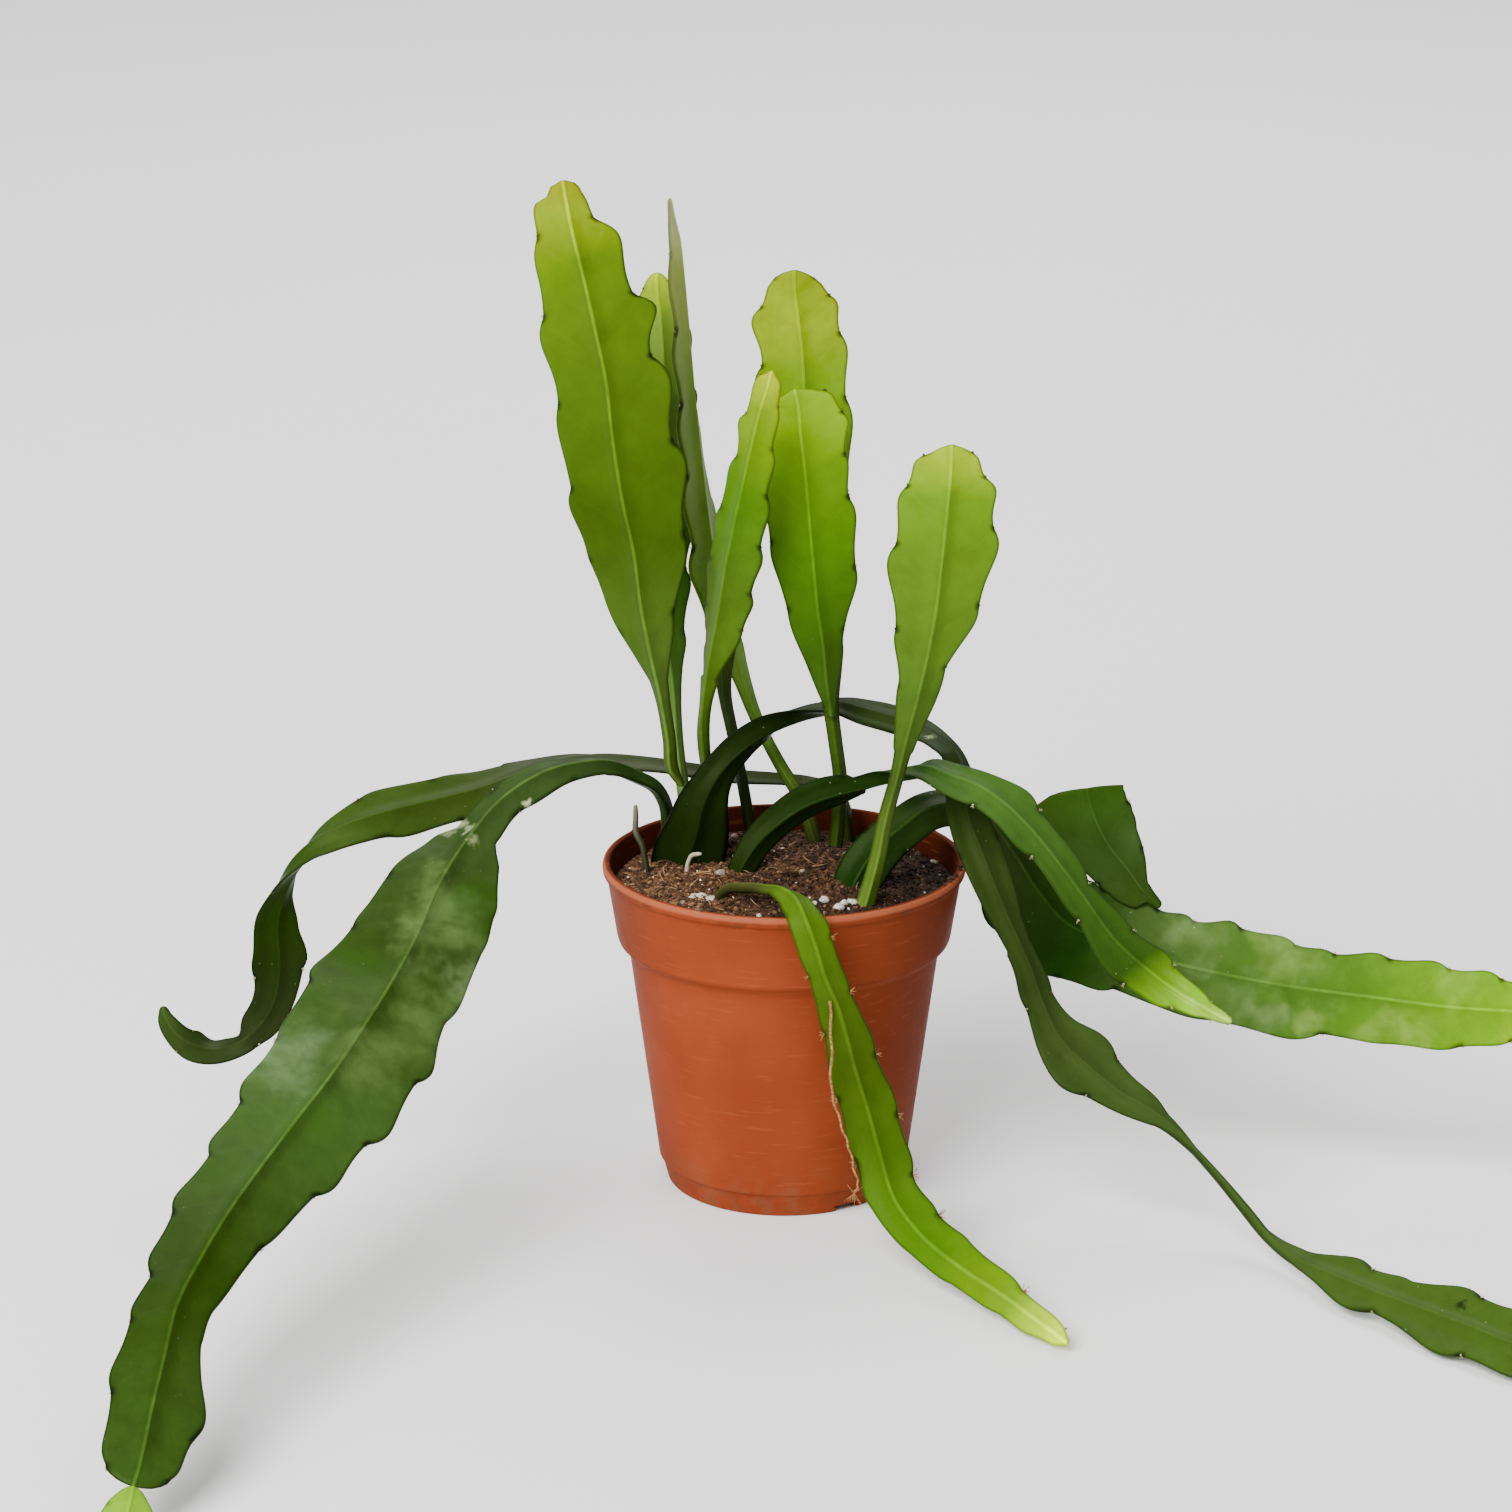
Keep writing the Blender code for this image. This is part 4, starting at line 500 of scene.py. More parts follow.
def lobes(places, length, side, pitch=PITCH, phase=0.0, left=None, right=None, **rest):
    """How many lobes of a margin there are up to each place, and where its notches are."""
    marks = left if side < 0 else right
    if marks:
        cuts = [place for place, width, bulge in marks if bulge >= NOTCH_BULGE and place < length - 1.0]
    else:
        start = phase if side < 0 else phase + 0.5
        cuts = [(k - start) * pitch for k in range(1, int(length / pitch + start) + 1)]
        cuts = [place for place in cuts if 0.0 < place < length - 0.8]
    if len(cuts) < 2:
        cuts = [length * 0.4, length * 0.8]
    spare = SPARE_LOBES * pitch
    ends = [cuts[0] - spare] + cuts + [cuts[-1] + spare]
    counts = [-SPARE_LOBES] + list(range(len(cuts))) + [len(cuts) - 1.0 + SPARE_LOBES]
    return np.interp(places, ends, counts) + LOBES_BEFORE, cuts


def margin_point(stations, form, place, beyond):
    """A point just beyond a stem's left margin."""
    fine, run = fine_stations(stations)
    places = np.array([place])
    rib, half, along, across, face = frames(fine, run, places)
    left, right = margins(half, places, **form)
    return tuple(rib[0] - across[0] * (left[0] + beyond))


def tip_point(stations, beyond):
    """A point just beyond a stem's tip."""
    fine, run = fine_stations(stations)
    rib, half, along, across, face = frames(fine, run, run[-1:] - STEP)
    return tuple(rib[0] + along[0] * (STEP + beyond))


def soil_height(x, y):
    """The soil's surface at a place, in millimetres: slightly domed, with a mound and low clods."""
    edge = min(1.0, math.hypot(x, y) / SOIL_RADIUS)
    across = (x - MOUND_PLACE[0]) / MOUND_SPREAD[0]
    deep = (y - MOUND_PLACE[1]) / MOUND_SPREAD[1]
    mound = MOUND_RISE * math.exp(-(across**2 + deep**2) / 2.0)
    clods = CLOD_RISE * (math.sin(0.31 * x + 1.0) * math.sin(0.27 * y) + math.sin(0.17 * x - 0.21 * y))
    return SOIL_MIDDLE + (SOIL_EDGE - SOIL_MIDDLE) * edge**2 + mound + clods * (1.0 - edge**2)


def swell(distance, radius):
    """How full a rounded end or margin is at a distance from it, from 0 to 1."""
    return np.sqrt(np.clip(1.0 - (1.0 - np.clip(distance / radius, 0.0, 1.0)) ** 2, 0.0, 1.0))


def new_object(name, data, group=None):
    """An object with that mesh, lamp or camera, in the scene or else in a group."""
    made = bpy.data.objects.new(name, data)
    if group is None:
        group = bpy.context.scene.collection
    group.objects.link(made)
    return made


def dress(mesh, material):
    """Gives a mesh one material."""
    mesh.materials.clear()
    mesh.materials.append(material)


def show(name, mesh, material, slot, *nodes):
    """Puts a mesh in the scene as a piece of the plant that stands for some of the part's nodes."""
    piece = new_object(name, mesh)
    if material:
        dress(mesh, material)
    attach(piece, "root")
    if nodes:
        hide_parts(*nodes)
    return piece


def kept_mesh(name, bm):
    """The shape under construction as a smooth mesh."""
    mesh = bpy.data.meshes.new(name)
    bm.to_mesh(mesh)
    bm.free()
    mesh.shade_smooth()
    return mesh


def solid_mesh(name, points, faces, numbers=None):
    """A smooth mesh whose faces look outward; numbers are named lists with a value for each point."""
    mesh = bpy.data.meshes.new(name)
    mesh.from_pydata([tuple(point) for point in np.asarray(points) * MM], [], faces)
    for key, values in (numbers or {}).items():
        kept = mesh.attributes.new(key, "FLOAT", "POINT")
        kept.data.foreach_set("value", np.asarray(values, dtype=np.float32).ravel())
    bm = bmesh.new()
    bm.from_mesh(mesh)
    bmesh.ops.recalc_face_normals(bm, faces=bm.faces)
    bm.to_mesh(mesh)
    bm.free()
    mesh.shade_smooth()
    return mesh


def loft(rings, around, first=None, last=None):
    """Faces that join closed rings with as many points each, and fans to the end points given."""
    faces = []
    for ring in range(rings - 1):
        for k in range(around):
            low, high = ring * around, (ring + 1) * around
            after = (k + 1) % around
            faces.append((low + k, low + after, high + after, high + k))
    if first is not None:
        faces += [(first, (k + 1) % around, k) for k in range(around)]
    if last is not None:
        top = (rings - 1) * around
        faces += [(last, top + k, top + (k + 1) % around) for k in range(around)]
    return faces


def half_columns(width):
    """Offsets from the midrib to one margin, for rows of that width, close at the rib and the margin."""
    scale = np.minimum(1.0, width / FULL_HALF)[:, None]
    inner = scale * np.array(RIB_COLUMNS)
    outer = width[:, None] - scale * np.array(MARGIN_COLUMNS)
    between = inner[:, -1:] + (outer[:, :1] - inner[:, -1:]) * np.array(BETWEEN_COLUMNS)
    return np.concatenate([inner, between, outer], 1)


def stem_places(length, budding):
    """Distances along a stem for its rows."""
    places = np.linspace(0.0, length, max(LEAST_ROWS, round(length / ROW)) + 1)[1:-1]
    ends = list(length - np.array(END_ROWS)[::-1])
    starts = list(END_ROWS) if budding else [FOOT_ROW]
    inside = places[(places > starts[-1] + ROW_GAP) & (places < ends[0] - ROW_GAP)]
    return np.array(starts + list(inside) + ends)


def stem_mesh(name, stations, form, budding):
    """One stem's flesh as a closed skin, with the distances that its material reads."""
    rib, edge, fold = form.get("rib", RIB), form.get("edge", EDGE), form.get("fold", FOLD)
    fine, run = fine_stations(stations)
    length = run[-1]
    places = stem_places(length, budding)
    midrib, half, along, across, face = frames(fine, run, places)
    end_round = swell(length - places, min(max(1.0, fine[-1, 3]), BLUNT_REACH))
    fade = np.clip((length - places) / TIP_FADE, TIP_SHARE, 1.0)
    if budding:
        end_round = end_round * swell(places, max(1.0, fine[0, 3]))
        fade = np.minimum(fade, np.clip(places / BUD_FADE, TIP_SHARE, 1.0))
    left, right = margins(half, places, **form)
    left, right = left * end_round, right * end_round

    one, other = half_columns(left), half_columns(right)
    offsets = np.concatenate([-one[:, ::-1], np.zeros((len(places), 1)), other], 1)
    width = np.where(offsets < 0.0, left[:, None], right[:, None])
    inset = np.maximum(width - np.abs(offsets), 0.0)
    flat = np.clip((half - FLAT_FROM) / (FLAT_FULL - FLAT_FROM), 0.0, 1.0)[:, None]
    rounding = half[:, None] * (1.0 - flat) + edge * 0.7 * flat
    flesh = edge + (rib * fade[:, None] - edge) * np.exp(-((offsets / RIB_REACH) ** 2))
    flesh = flesh * swell(inset, np.maximum(rounding, 0.3)) * end_round[:, None] / 2.0

    one_turn = lobes(places, length, -1, **form)[0]
    other_turn = lobes(places, length, 1, **form)[0]
    turn = np.where(offsets > 0.0, other_turn[:, None], one_turn[:, None])
    leaf = np.clip((half - TOOTH_FROM) / (TOOTH_FULL - TOOTH_FROM), 0.0, 1.0)[:, None]
    spread = np.abs(offsets) / np.maximum(width, 0.01)
    wave = WAVE * leaf * spread**2 * np.sin(math.tau * (turn + WAVE_SHIFT)) * end_round[:, None]
    middle = midrib[:, None] + across[:, None] * offsets[..., None]
    middle = middle + face[:, None] * (wave - np.abs(offsets) * fold)[..., None]
    front = middle + face[:, None] * flesh[..., None]
    back = middle - face[:, None] * flesh[..., None]

    def ring(forward, backward):
        """Values round each row: over the front from left to right, and back behind it."""
        return np.concatenate([forward, backward[:, -2:0:-1]], 1)

    rings = ring(front, back)
    rows, around = rings.shape[:2]
    ends = [midrib[:1] - along[:1] * FOOT_CAP, midrib[-1:] + along[-1:] * TIP_CAP]
    points = np.concatenate([rings.reshape(-1, 3), *ends])
    even = np.ones_like(offsets)
    fields = {
        "across_mm": offsets,
        "inset_mm": inset,
        "spread": spread,
        "share": even * (places / length)[:, None],
        "turn": turn,
        "leaf": even * leaf,
    }
    numbers = {key: ring(field, field) for key, field in fields.items()}
    numbers["front"] = ring(even, even * 0.0)
    end_values = {"share": (0.0, 1.0), "turn": (turn[0, 0], turn[-1, 0])}
    for key, values in numbers.items():
        numbers[key] = np.concatenate([values.ravel(), end_values.get(key, (0.0, 0.0))])
    return solid_mesh(name, points, loft(rows, around, rows * around, rows * around + 1), numbers)


def notches(stations, form):
    """Where a stem's margins have their notches: a place, the way out of it and the leaf share."""
    fine, run = fine_stations(stations)
    found = []
    for side in (-1.0, 1.0):
        turn, cuts = lobes(run, run[-1], side, **form)
        for place in cuts:
            spot = np.array([place])
            midrib, half, along, across, face = frames(fine, run, spot)
            left, right = margins(half, spot, **form)
            width = (left if side < 0.0 else right)[0]
            leaf = float(np.clip((half[0] - TUFT_FROM) / (TUFT_FULL - TUFT_FROM), 0.0, 1.0))
            if place < BARE_FOOT or leaf < LEAST_LEAF:
                continue
            offset = side * (width - TUFT_INSET)
            point = midrib[0] + across[0] * offset - face[0] * abs(offset) * form.get("fold", FOLD)
            way = across[0] * side * TUFT_OUT + along[0] * TUFT_AHEAD
            found.append((point, way, leaf))
    return found


def tube_mesh(name, points, radii, sides=10):
    """A round rod along points, with a radius at each, closed at both ends."""
    line = np.asarray(points, float)
    ahead = unit(np.gradient(line, axis=0))
    side = np.cross(ahead[0], (0.3, 0.2, 1.0))
    turns = math.tau * np.arange(sides) / sides
    rows = []
    for place, way, radius in zip(line, ahead, radii):
        side = side - way * np.dot(side, way)
        side = side / np.linalg.norm(side)
        other = np.cross(way, side)
        rows.append(place + radius * (np.outer(np.cos(turns), side) + np.outer(np.sin(turns), other)))
    ends = [line[0] - ahead[0] * radii[0] * 0.5, line[-1] + ahead[-1] * radii[-1] * 0.5]
    faces = loft(len(rows), sides, len(rows) * sides, len(rows) * sides + 1)
    return solid_mesh(name, np.concatenate([np.concatenate(rows), ends]), faces)


def join_meshes(name, meshes):
    """Several meshes as one."""
    bm = bmesh.new()
    for mesh in meshes:
        bm.from_mesh(mesh)
    return kept_mesh(name, bm)


def lump_mesh(name, place, size, roughness, seed, fineness=2):
    """An irregular grain at a place, with its three half sizes."""
    bm = bmesh.new()
    bmesh.ops.create_icosphere(bm, subdivisions=fineness, radius=1.0)
    for vertex in bm.verts:
        way = vertex.co.normalized()
        push = noise.noise(way * 1.7 + Vector((seed * 3.1, seed * 1.7, 0.0)))
        push += 0.5 * noise.noise(way * 3.9 + Vector((0.0, seed * 2.3, 5.0)))
        at = way * (1.0 + roughness * push)
        vertex.co = Vector([place[k] + at[k] * size[k] for k in range(3)]) * MM
    return kept_mesh(name, bm)


def finished(piece):
    """The piece with its modifiers turned into plain mesh."""
    bpy.context.view_layer.update()
    seen = piece.evaluated_get(bpy.context.evaluated_depsgraph_get())
    mesh = bpy.data.meshes.new_from_object(seen)
    piece.modifiers.clear()
    piece.data = mesh
    return mesh


def round_profile(corners, steps=4):
    """A line of (radius, height, rounding) whose corners are rounded off."""
    points = []
    for k, (radius, height, rounding) in enumerate(corners):
        here = np.array((radius, height), float)
        if rounding == 0 or k in (0, len(corners) - 1):
            points.append(tuple(here))
            continue
        before = np.array(corners[k - 1][:2], float) - here
        after = np.array(corners[k + 1][:2], float) - here
        longest = min(np.linalg.norm(before), np.linalg.norm(after)) * CORNER_REACH
        reach = min(rounding, longest)
        start = here + before / np.linalg.norm(before) * reach
        end = here + after / np.linalg.norm(after) * reach
        for u in np.arange(steps + 1) / steps:
            points.append(tuple((1 - u) ** 2 * start + 2 * u * (1 - u) * here + u**2 * end))
    return points


def round_pot(angle, radius):
    """The move to a place that far from the pot's axis."""
    return Matrix.Translation(Vector((math.cos(angle), math.sin(angle), 0.0)) * radius * MM)


def pot_cutters():
    """The shapes that drill the drain holes and cut the notches of the foot ring."""
    cutters = bpy.data.collections.new("pot_cutters")
    for k in range(DRAIN_HOLES):
        bm = bmesh.new()
        size = DRAIN_RADIUS * MM
        depth = FLOOR_TOP * 3.0 * MM
        bmesh.ops.create_cone(
            bm, cap_ends=True, segments=DRAIN_SIDES, radius1=size, radius2=size, depth=depth
        )
        bm.transform(round_pot(math.tau * (k + 0.25) / DRAIN_HOLES, DRAIN_CIRCLE))
        new_object("drain_hole", kept_mesh("drain_hole", bm), cutters)
    for k in range(FOOT_NOTCHES):
        angle = NOTCH_ANGLE + math.tau * k / FOOT_NOTCHES
        bm = bmesh.new()
        bmesh.ops.create_cube(bm, size=1.0)
        size = Vector((FOOT_WIDTH * 4.0, NOTCH_WIDTH, FLOOR_RISE * 2.0 - 0.4)) * MM
        bmesh.ops.scale(bm, vec=size, verts=bm.verts)
        bm.transform(round_pot(angle, FOOT_RADIUS) @ Matrix.Rotation(angle, 4, "Z"))
        new_object("foot_notch", kept_mesh("foot_notch", bm), cutters)
    return cutters


def make_pot(material):
    """The pot, turned from its outline: rolled lip, collar, drain holes and notches in its foot."""
    profile = round_profile([
        (0.0, FLOOR_TOP, 0),
        *INSIDE,
        (RIM_RADIUS - 2.6, POT_HEIGHT - 0.2, 0.7),
        (RIM_RADIUS - 1.6, POT_HEIGHT, 0.5),
        (RIM_RADIUS - 0.4, POT_HEIGHT - 0.2, 0.8),
        (RIM_RADIUS, POT_HEIGHT - 1.8, 1.0),
        (RIM_RADIUS - 0.3, LIP_LOW + 0.3, 0.7),
        (RIM_RADIUS - 1.4, LIP_LOW - 0.1, 0.5),
        (COLLAR_FOOT_RADIUS + 0.4, COLLAR_FOOT_HEIGHT + 1.5, 0.8),
        (COLLAR_FOOT_RADIUS - 0.2, COLLAR_FOOT_HEIGHT - 0.2, 0.6),
        (WALL_TOP_RADIUS, WALL_TOP_HEIGHT, 1.2),
        (FOOT_LINE_RADIUS, FOOT_LINE_HEIGHT, 0.5),
        (FOOT_LINE_RADIUS - 0.8, FOOT_LINE_HEIGHT - 0.5, 0.3),
        (FOOT_RADIUS, 0.0, 0.7),
        (FOOT_RADIUS - FOOT_WIDTH, 0.0, 0.3),
        (FOOT_RADIUS - FOOT_WIDTH - 0.5, FLOOR_RISE, 0.4),
        (PAD_RADIUS + 0.5, FLOOR_RISE, 0.3),
        (PAD_RADIUS, 0.0, 0.3),
        (0.0, 0.0, 0),
    ])
    mesh = bpy.data.meshes.new("pot_outline")
    line = [(i, i + 1) for i in range(len(profile) - 1)]
    mesh.from_pydata([(radius * MM, 0.0, height * MM) for radius, height in profile], line, [])
    pot = show("pot_fine", mesh, None, "terracotta_plastic", "pot")
    screw = pot.modifiers.new("turned", "SCREW")
    screw.axis = "Z"
    screw.angle = math.tau
    screw.steps = POT_SIDES
    screw.render_steps = POT_SIDES
    screw.use_merge_vertices = True
    screw.merge_threshold = WELD * MM
    cutters = pot_cutters()
    cut = pot.modifiers.new("holes", "BOOLEAN")
    cut.operation = "DIFFERENCE"
    cut.operand_type = "COLLECTION"
    cut.collection = cutters
    mesh = finished(pot)
    for tool in list(cutters.objects):
        bpy.data.objects.remove(tool)
    bpy.data.collections.remove(cutters)
    dress(mesh, material)
    mesh.shade_smooth()
    mesh.set_sharp_from_angle(angle=SHARP_CORNER)


def crumbly_height(x, y):
    """The soil's surface with its crumbs, in millimetres."""
    place = Vector((x, y, 0.0))
    crumbs = noise.fractal(place / CRUMB_SIZE, *CRUMB_NOISE)
    lumps = noise.noise(place / LUMP_SIZE + Vector((7.0, 0.0, 3.0)))
    edge = min(1.0, math.hypot(x, y) / SOIL_RADIUS)
    rise = soil_height(x, y) + CRUMB_RISE * crumbs * CRUMB_SHARE
    return rise + LUMP_RISE * lumps * (1.0 - 0.5 * edge**4)


def make_soil(material):
    """The soil as a closed block with a crumbly top; gives back the part that carries litter."""
    share = (SOIL_EDGE - COLLAR_FOOT_HEIGHT) / (LIP_LOW - COLLAR_FOOT_HEIGHT)
    collar, lip = INSIDE[3][0], INSIDE[4][0]
    brim = collar + (lip - collar) * share - SOIL_GAP
    turns = math.tau * np.arange(SOIL_SECTORS) / SOIL_SECTORS
    points = []
    for k in range(1, SOIL_RINGS + 1):
        radius = brim * k / SOIL_RINGS
        ring = [(radius * math.cos(t), radius * math.sin(t)) for t in turns]
        points += [(x, y, crumbly_height(x, y)) for x, y in ring]
    bottom = FLOOR_TOP + SOIL_GAP
    for radius, height, rounding in INSIDE[3::-1]:
        radius = radius - SOIL_GAP
        points += [(radius * math.cos(t), radius * math.sin(t), max(height, bottom)) for t in turns]
    rows = len(points) // SOIL_SECTORS
    points += [(0.0, 0.0, crumbly_height(0.0, 0.0)), (0.0, 0.0, bottom)]
    faces = loft(rows, SOIL_SECTORS, rows * SOIL_SECTORS, rows * SOIL_SECTORS + 1)
    show("soil_fine", solid_mesh("soil_fine", points, faces), material, "peat", "soil")
    top = bpy.data.meshes.new("soil_top")
    places = [tuple(np.array(point) * MM) for point in points[: SOIL_RINGS * SOIL_SECTORS]]
    top.from_pydata(places, [], loft(SOIL_RINGS - BARE_RINGS, SOIL_SECTORS))
    return top


class Recipe:
    """A geometry tree under construction, with named inputs for its sizes."""

    def __init__(self, name, **inputs):
        self.tree = bpy.data.node_groups.new(name, "GeometryNodeTree")
        face = self.tree.interface
        face.new_socket("Geometry", in_out="INPUT", socket_type="NodeSocketGeometry")
        for label, kind in inputs.items():
            face.new_socket(label.replace("_", " "), in_out="INPUT", socket_type="NodeSocket" + kind)
        face.new_socket("Geometry", in_out="OUTPUT", socket_type="NodeSocketGeometry")
        self.given = self.tree.nodes.new("NodeGroupInput").outputs
        self.result = self.tree.nodes.new("NodeGroupOutput").inputs[0]

    def node(self, kind, settings=None, values=None, output=0):
        """A node with its settings and inputs, of which one output is given back."""
        made = self.tree.nodes.new(kind)
        for key, value in (settings or {}).items():
            setattr(made, key, value)
        for key, value in (values or {}).items():
            socket = made.inputs[key]
            if isinstance(value, bpy.types.NodeSocket):
                self.tree.links.new(value, socket)
            else:
                socket.default_value = value
        return made.outputs[output]

    def math(self, operation, one, other):
        """Arithmetic on two numbers."""
        return self.node("ShaderNodeMath", {"operation": operation}, {0: one, 1: other})

    def scaled(self, vector, amount):
        """A vector times a number."""
        return self.node("ShaderNodeVectorMath", {"operation": "SCALE"}, {0: vector, "Scale": amount})

    def between(self, low, high, seed):
        """A random number, or a random vector, for each point."""
        if isinstance(low, tuple):
            kind, first, output = "FLOAT_VECTOR", 0, 0
        else:
            kind, first, output = "FLOAT", 2, 1
        values = {first: low, first + 1: high, "Seed": seed}
        return self.node("FunctionNodeRandomValue", {"data_type": kind}, values, output)

    def scattered(self):
        """Random points on the surface that the tree is given."""
        given = self.given
        values = {"Mesh": given["Geometry"], "Density": given["Density"], "Seed": given["Seed"]}
        return self.node("GeometryNodeDistributePointsOnFaces", {"distribute_method": "RANDOM"}, values)

    def placed(self, points, shape, scale, turn):
        """A shape at each point."""
        values = {"Points": points, "Instance": shape, "Scale": scale, "Rotation": turn}
        return self.node("GeometryNodeInstanceOnPoints", values=values)

    def close(self, *parts):
        """Joins the parts, realises them and gives them the surface."""
        joined = self.tree.nodes.new("GeometryNodeJoinGeometry")
        for part in parts:
            self.tree.links.new(part, joined.inputs[0])
        real = self.node("GeometryNodeRealizeInstances", values={0: joined.outputs[0]})
        values = {"Geometry": real, "Material": self.given["Surface"]}
        self.tree.links.new(self.node("GeometryNodeSetMaterial", values=values), self.result)
        return self.tree


def grow(name, base, tree, values, material):
    """Runs a geometry tree on a base mesh and shows what it makes as a piece."""
    piece = new_object(name, base)
    run = piece.modifiers.new("grown", "NODES")
    run.node_group = tree
    sockets = {item.name: item.identifier for item in tree.interface.items_tree if item.in_out == "INPUT"}
    for key, value in {**values, "Surface": material}.items():
        run[sockets[key]] = value
    mesh = finished(piece)
    mesh.name = name
    dress(mesh, material)
    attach(piece, "root")


def crumb_tree():
    """Angular crumbs scattered over a surface."""
    sizes = {"Density": "Float", "Smallest": "Float", "Largest": "Float"}
    recipe = Recipe("scattered_crumbs", **sizes, Seed="Int", Surface="Material")
    given = recipe.given
    spots = recipe.scattered()
    grain = recipe.node("GeometryNodeMeshIcoSphere", values={"Radius": 1.0, "Subdivisions": 1})
    size = recipe.between(given["Smallest"], given["Largest"], given["Seed"])
    scale = recipe.scaled(recipe.between((0.5, 0.5, 0.35), (1.2, 1.2, 0.9), 5), size)
    turn = recipe.between((0.0, 0.0, 0.0), (0.9, 0.9, math.tau), 9)
    return recipe.close(recipe.placed(spots, grain, scale, turn))


def fibre_tree():
    """Short bent fibres lying about on a surface."""
    sizes = {"Density": "Float", "Length": "Float", "Thickness": "Float"}
    recipe = Recipe("scattered_fibres", **sizes, Seed="Int", Surface="Material")
    given = recipe.given
    spots = recipe.scattered()
    values = {"Start": (-0.5, 0.0, 0.0), "Middle": (0.0, 0.32, 0.25), "End": (0.5, 0.0, 0.05)}
    values["Resolution"] = 5
    bow = recipe.node("GeometryNodeCurveQuadraticBezier", values=values)
    width = recipe.math("DIVIDE", given["Thickness"], given["Length"])
    ring = recipe.node("GeometryNodeCurvePrimitiveCircle", values={"Resolution": 4, "Radius": width})
    values = {"Curve": bow, "Profile Curve": ring, "Fill Caps": True}
    fibre = recipe.node("GeometryNodeCurveToMesh", values=values)
    size = recipe.math("MULTIPLY", given["Length"], recipe.between(0.35, 1.3, 21))
    scale = recipe.node("ShaderNodeCombineXYZ", values={0: size, 1: size, 2: size})
    turn = recipe.between((-0.5, -0.5, 0.0), (0.5, 0.5, math.tau), 23)
    return recipe.close(recipe.placed(spots, fibre, scale, turn))


def tuft_tree():
    """A small cushion with a few bristles at each point, turned to the point's way out."""
    sizes = {"Bristles": "Int", "Bristle_length": "Float", "Bristle_width": "Float", "Cushion": "Float"}
    recipe = Recipe("margin_tufts", **sizes, Seed="Int", Surface="Material")
    given = recipe.given
    points = given["Geometry"]
    size = recipe.node("GeometryNodeInputNamedAttribute", {"data_type": "FLOAT"}, {"Name": "size"})
    way = recipe.node("GeometryNodeInputNamedAttribute", {"data_type": "FLOAT_VECTOR"}, {"Name": "way"})
    upright = recipe.node("FunctionNodeAlignRotationToVector", {"axis": "Z"}, {"Vector": way})
    ball = recipe.node("GeometryNodeMeshIcoSphere", values={"Radius": 1.0, "Subdivisions": 2})
    flat = recipe.scaled((1.0, 1.0, 0.7), recipe.math("MULTIPLY", given["Cushion"], size))
    cushions = recipe.placed(points, ball, flat, upright)
    values = {"Geometry": points, "Amount": given["Bristles"]}
    many = recipe.node("GeometryNodeDuplicateElements", {"domain": "POINT"}, values)
    stray = recipe.between((-0.75, -0.75, -0.75), (0.75, 0.75, 0.75), given["Seed"])
    leaning = recipe.node("ShaderNodeVectorMath", {"operation": "ADD"}, {0: way, 1: stray})
    tilt = recipe.node("FunctionNodeAlignRotationToVector", {"axis": "Z"}, {"Vector": leaning})
    values = {"Vertices": 4, "Side Segments": 2, "Radius Top": 0.0001}
    values.update({"Radius Bottom": given["Bristle width"], "Depth": given["Bristle length"]})
    bristle = recipe.node("GeometryNodeMeshCone", values=values)
    reach = recipe.math("MULTIPLY", size, recipe.between(0.5, 1.25, 31))
    scale = recipe.node("ShaderNodeCombineXYZ", values={0: size, 1: size, 2: reach})
    return recipe.close(cushions, recipe.placed(many, bristle, scale, tilt))


def point_mesh(name, spots):
    """Loose points, each with a size and a way out."""
    mesh = bpy.data.meshes.new(name)
    mesh.from_pydata([tuple(np.asarray(point) * MM) for point, way, size in spots], [], [])
    sizes = mesh.attributes.new("size", "FLOAT", "POINT")
    sizes.data.foreach_set("value", [size for point, way, size in spots])
    ways = mesh.attributes.new("way", "FLOAT_VECTOR", "POINT")
    ways.data.foreach_set("vector", [part for point, way, size in spots for part in way])
    return mesh


def light(red, green, blue):
    """A colour as seen on a screen, from 0 to 255, as the amounts of light that a shader takes."""
    parts = [value / 255.0 for value in (red, green, blue)]
    return tuple(p / 12.92 if p <= 0.04045 else ((p + 0.055) / 1.055) ** 2.4 for p in parts)


def sign(operation, turned=False):
    """An arithmetic sign for the values of a material; turned where the value stands behind it."""

    def act(self, *others):
        values = (*others, self) if turned else (self, *others)
        return self.paint.node("ShaderNodeMath", {"operation": operation}, dict(enumerate(values)))

    return act


class Value:
    """A number or colour inside a material, with the arithmetic that the materials use."""

    __add__ = sign("ADD")
    __radd__ = sign("ADD", True)
    __sub__ = sign("SUBTRACT")
    __rsub__ = sign("SUBTRACT", True)
    __mul__ = sign("MULTIPLY")
    __rmul__ = sign("MULTIPLY", True)
    __truediv__ = sign("DIVIDE")
    __abs__ = sign("ABSOLUTE")
    fraction = sign("FRACT")

    def __init__(self, paint, socket):
        self.paint = paint
        self.socket = socket

    def rises(self, low, high):
        """0 up to low and 1 from high, smooth between them; falls where low is the greater."""
        settings = {"interpolation_type": "SMOOTHSTEP"}
        return self.paint.node("ShaderNodeMapRange", settings, {"Value": self, 1: low, 2: high})


